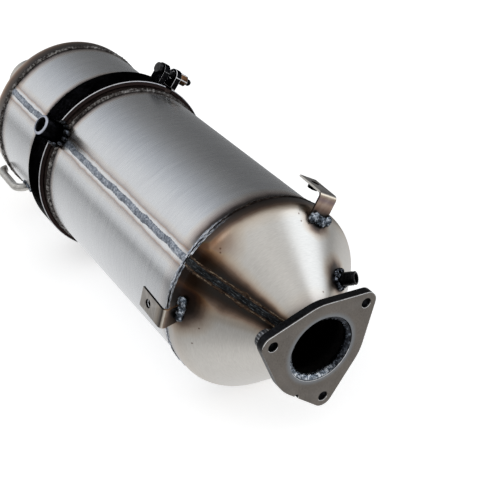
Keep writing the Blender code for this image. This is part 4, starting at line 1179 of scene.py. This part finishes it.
bore_weld = turned("outlet_flange_weld_bead", bore_outline, 400)
for vertex in bore_weld.data.vertices:
    x, y, z = vertex.co
    radius, angle = math.hypot(y, z), math.atan2(z, y)
    about = Vector((math.cos(angle), math.sin(angle), 0.0))
    full = 0.5 + 0.5 * math.cos(angle + math.radians(62))
    if x > neck_end + 0.0005:
        back = 0.0016 * (1 - full) + 0.0004 * (0.5 + noise.noise(about * 30))
        x -= back * min(1.0, (x - neck_end) / 0.0028)
    if radius < NECK_RADIUS - 0.0009 and x > neck_end - 0.0050:
        ripple = noise.noise(about * 22 + Vector((0, 0, 1.0)))
        ripple += 0.6 * noise.noise(about * 60 + Vector((0, 0, x * 400)))
        radius -= 0.0011 * ripple + 0.0005 * full
    vertex.co = (x, radius * math.cos(angle), radius * math.sin(angle))
seat(bore_weld, "outlet_flange_weld", "weld", bore_finish("bore weld"))

# Weld nut behind one corner of the flange: a round nut that the bolt screws into, its ribs shown only as
# stripes of painted highlight. It is turned from dark steel.
nut_face = -PLATE_THICK - FIT
nut_centre = on_face(BOLT_CIRCLE, corner_turns[1]).translation
nut_outline = [
    (nut_face, 0.0046), (nut_face, 0.0092), (-0.0104, 0.0098), (-0.0158, 0.0098), (-0.0170, 0.0086),
    (-0.0170, 0.0056), (-0.0164, 0.0046),
]
flange_nut = turned("flange_nut_round", nut_outline, 64)
flange_nut.data.transform(Matrix.Translation(nut_centre))
soften(flange_nut, 0.0004)


def rib_highlights(skin):
    """Stripes of painted highlight round the nut's side, where its ribs would catch the light."""
    angle = calc("ARCTAN2", skin.z - nut_centre.z, skin.y - nut_centre.y)
    step = calc("PINGPONG", angle + 4.0, 0.16)
    return ease(step, 0.06, 0.14) * ease(skin.grain(300), 0.4, 0.6, 0.1, 0.55)


zone = ((196, 198, 202), rib_highlights)
nut_steel = dark_steel("weld nut steel", (34, 34, 36), (92, 94, 98), 0.32, 0.9, zone)
seat(flange_nut, "flange_nut", "flange_steel", nut_steel)

# Inlet cone: the same pressing as the outlet's, turned round at the front can's end. It has no port and
# no brackets.
neck_tip = FRONT_LIP - NECK_END
inlet_cone = pressing("inlet_cone_shell", FRONT_LIP, -1)
skin, colour = cone_sheet("inlet cone steel", FRONT_LIP, -1, neck_tip)
skin.set("Base Color", colour)
seat(inlet_cone, "inlet_cone", "cone_steel", skin.finish)
soot_and_shade_inside(inlet_cone, "inlet cone soot")

# Inlet pipe: a plain drawn tube that slips into the inlet cone's neck, with a ring weld round the joint.
# The pipe from the engine clamps over it.
PIPE_REACH = 0.045
PIPE_GRIP = 0.025
pipe_radius = NECK_RADIUS - WALL - FIT
ends = neck_tip - PIPE_REACH, neck_tip + PIPE_GRIP
pipe = tube("inlet_pipe_tube", *ends, pipe_radius, pipe_radius - WALL, 120)
soften(pipe, 0.0003)
skin, colour = brushed("inlet pipe steel", (160, 156, 150), (206, 202, 196), 0.32)
skin.set("Base Color", heat(colour, skin.from_ring(neck_tip - 0.004, -1, 0.005), 0.016, RING_TINT))
seat(pipe, "inlet_pipe", "pipe_steel", skin.finish)
outline = bead_outline(neck_tip - FIT, pipe_radius + 0.0001, -1, 0.0038, 0.0014)
pipe_weld = ring_weld("inlet_pipe_weld_bead", outline, 320, 0.0004, 0.0003, 8.3)
seat(pipe_weld, "inlet_pipe_weld", "weld", joint_weld_steel)

# Hanger hook: a bent round steel rod on the front can, with weld at its root. A rubber hanger under the
# car holds it.
HOOK_LEVEL = -0.040
HOOK_ROOT = -0.4945
HOOK_END = -0.5515
HOOK_REACH = 0.0148
HOOK_LIFT = 0.0085
ROD_RADIUS = 0.0049
surface = math.sqrt(CAN_RADIUS**2 - HOOK_LEVEL**2)
root = (HOOK_ROOT, -surface + 0.006)
knee = (HOOK_ROOT, -surface - HOOK_REACH)
far = (HOOK_END, -surface - HOOK_REACH)
tip = (HOOK_END, -surface - HOOK_REACH + HOOK_LIFT)
hook_path = [root] + rounded(knee, root, far, 0.011, 14) + rounded(far, knee, tip, 0.0075, 12) + [tip]
bpy.ops.object.select_all(action="DESELECT")
bpy.ops.curve.primitive_nurbs_path_add()
line = bpy.context.object.data
line.splines.clear()
spline = line.splines.new("POLY")
spline.points.add(len(hook_path) - 1)
for point, (x, y) in zip(spline.points, hook_path):
    point.co = (x, y, HOOK_LEVEL, 1)
line.bevel_depth = ROD_RADIUS
line.bevel_resolution = 10
line.use_fill_caps = True
bpy.ops.object.convert(target="MESH")
hook = bpy.context.object
hook.name = hook.data.name = "hanger_hook_rod"
hook.data.materials.clear()
close_up(hook)


def can_blank():
    """The cans as a solid bar, a gap larger, to trim what stands on them."""
    return tube("blank", FRONT_LIP, LIP, CAN_RADIUS + FIT, sides=120)


cut(hook, can_blank())
soften(hook, 0.0010, 3, 50)
skin, colour = brushed("hook rod steel", (150, 148, 144), (206, 204, 200), 0.30)
skin.set("Base Color", colour)
seat(hook, "hanger_hook", "rod_steel", skin.finish)
drops = ring_of_drops(
    9, 0.0068, 1.0, lambda i: 0.0024 + 0.0004 * math.sin(i * 2.2), lambda i: CAN_RADIUS + 0.0002
)
hook_weld = blobs("hanger_hook_weld_drops", drops, 0.0005, 0.0004, 9.0)
hook_weld.data.transform(facing(HOOK_ROOT, math.atan2(HOOK_LEVEL, -surface)))
cut(hook_weld, can_blank())
seat(hook_weld, "hanger_hook_weld", "weld", bracket_weld_steel)

# Blocks inside the cans: two ceramic honeycombs, each wrapped in a fibre mat between sheet rings. They
# keep their plain solids, because the cans hide all but their end faces.


def honeycomb(name, wall, cell_shade, pitch):
    """Square cells seen on the end face of a ceramic block, their openings painted dark as shade."""
    skin = Skin(name, 0.85, 0.0)
    lines = [calc("PINGPONG", v + 1.0, pitch / 2) for v in (skin.y, skin.z)]
    wire = calc("MAXIMUM", *(calc("GREATER_THAN", line, pitch * 0.36) for line in lines))
    skin.set("Base Color", lay(cell_shade, lay(wall, (60, 56, 52), skin.grain(60), "MULTIPLY"), wire))
    return skin.finish


def keep(node, finish):
    """Gives a carried-over solid its finish."""
    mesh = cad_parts[node].data
    mesh.materials.clear()
    mesh.materials.append(finish)


# The filter's end face is painted near-black all over: painted shade deep inside the outlet.
keep("filter_core", honeycomb("filter ceramic in painted shade", (34, 32, 30), (10, 10, 10), 0.0021))
keep("catalyst_core", honeycomb("catalyst ceramic", (176, 164, 144), (40, 36, 30), 0.0015))
mat = Skin("fibre mat", 0.95, 0.0)
fibre = mat.grain(700, 5.0, (1, 3, 3))
mat.set("Base Color", tones(fibre, (0.35, 150, 144, 132), (0.65, 214, 208, 196)))
mat.bump(fibre, 0.8)
retainer, colour = brushed("retainer steel", (120, 112, 104), (168, 160, 152), 0.36)
retainer.set("Base Color", colour)
for prefix in ("filter", "catalyst"):
    keep(prefix + "_mat", mat.finish)
    keep(prefix + "_retainer_rear", retainer.finish)
    keep(prefix + "_retainer_front", retainer.finish)

# Gasket: a soft grey ring of graphite and steel between the two joint rings. The clamp hides it, and it
# keeps its plain solid.
keep("joint_gasket", dark_steel("gasket grey", (92, 92, 92), (138, 138, 138), 0.6, 0.3))

# Studio: a white floor that the clamp rests on, in a white room. To the camera both are white. Metal
# shows them with the darker strips beside the product that shape its highlights.
FLOOR_LEVEL = -0.1098


def grey(value, blue=0.0):
    return (value * (1 - blue), value, value * (1 + 1.6 * blue), 1.0)


def strips(value, low, high, *stops):
    """Grey levels along a line from low to high."""
    levels = [((at - low) / (high - low), *level) for at, *level in stops]
    return fan((value - low) / (high - low), levels, grey)[0]


def light_path(tree, kind):
    return Wire(tree.nodes.new("ShaderNodeLightPath").outputs[kind])


floor = fresh("floor", bpy.ops.mesh.primitive_plane_add, size=14)
floor.data.transform(Matrix.Translation((0, 0, FLOOR_LEVEL)))
skin = Skin("floor white", 0.9, 0.0)
skin.set("Specular IOR Level", 0.0)
skin.set("Emission Color", (1, 1, 1, 1))
behind = strips(
    skin.y, -2.2, 2.2, (-2.1, 0.97), (-1.35, 0.95), (-1.16, 0.06), (-0.78, 0.06), (-0.58, 0.60),
    (-0.38, 0.70), (-0.24, 0.82), (-0.16, 0.95), (-0.08, 1.0), (0.10, 0.95), (0.24, 0.55), (0.33, 0.38),
    (0.45, 0.28), (0.8, 0.20), (2.2, 0.18),
)
ahead = strips(
    skin.y, -2.2, 2.2, (-2.1, 0.95), (-1.65, 0.18), (-0.70, 0.18), (-0.50, 0.36), (-0.36, 0.46),
    (-0.21, 0.62), (-0.15, 0.84), (-0.10, 0.93), (0.10, 0.93), (0.37, 0.88), (0.65, 0.80), (1.6, 0.56),
    (2.2, 0.40),
)
shown = lay(behind, ahead, ease(skin.x, -0.45, -0.08))
glossy = light_path(skin.tree, "Is Glossy Ray")
skin.set("Base Color", lay((232, 232, 232), (0, 0, 0), glossy))
skin.set("Emission Strength", light_path(skin.tree, "Is Camera Ray") * 0.52 + shown * glossy)
floor.data.materials.append(skin.finish)

world = bpy.data.worlds.new("room")
bpy.context.scene.world = world
world.use_nodes = True
tree = world.node_tree
aim = Wire(tree.nodes.new("ShaderNodeTexCoord").outputs["Generated"])
aim_x, aim_y, _ = split(aim)
behind = strips(
    aim_y, -1.0, 1.0, (-1.0, 0.98), (-0.38, 0.98), (-0.14, 0.70, 0.03), (0.10, 0.44, 0.03),
    (0.26, 0.30, 0.01), (0.44, 0.20), (0.60, 0.16), (1.0, 0.22),
)
ahead = strips(
    aim_y, -1.0, 1.0, (-1.0, 0.92), (-0.65, 0.80), (-0.28, 0.72), (-0.04, 0.84), (0.2, 0.94), (0.5, 0.80),
    (0.8, 0.52), (1.0, 0.46),
)
room = lay(behind, ahead, ease(aim_x, -0.50, 0.05))
toward_window = compare("DOT_PRODUCT", aim, Vector((0.32, 0.84, 0.44)).normalized())
room = lay(room, (1.22, 1.32, 1.44, 1.0), ease(toward_window, 0.90, 0.985), "ADD")
room = lay(room, (1, 1, 1, 1), light_path(tree, "Is Camera Ray"))
feed(room, tree.nodes["Background"].inputs["Color"])

data = bpy.data.lights.new("top soft box", "AREA")
data.shape = "RECTANGLE"
data.size = data.size_y = 0.7
data.energy = 1.8
lamp = bpy.data.objects.new("top soft box", data)
bpy.context.scene.collection.objects.link(lamp)
lamp.location = (-0.6, -0.9, 1.9)
lamp.rotation_euler = (Vector((-0.2, 0, 0)) - Vector(lamp.location)).to_track_quat("-Z", "Y").to_euler()

# Camera: looks down at the outlet from its right, as the photograph does. Its place and turn are those
# of the camera that was fitted to the photograph.
data = bpy.data.cameras.new("camera")
data.sensor_width = 36
data.lens = 72.288
data.shift_x = -0.0007
data.shift_y = 0.0020
data.clip_end = 50
camera = bpy.data.objects.new("camera", data)
bpy.context.scene.collection.objects.link(camera)
right = Vector((0.53498, 0.84486, 0.0)).normalized()
back = Vector((0.70087571, -0.44380575, 0.55839922)).normalized()
turned_to = Matrix((right, back.cross(right), back)).transposed().to_4x4()
camera.matrix_world = Matrix.Translation((0.57233, -0.44032, 0.59361)) @ turned_to
bpy.context.scene.camera = camera
bpy.context.scene.view_settings.view_transform = "Standard"
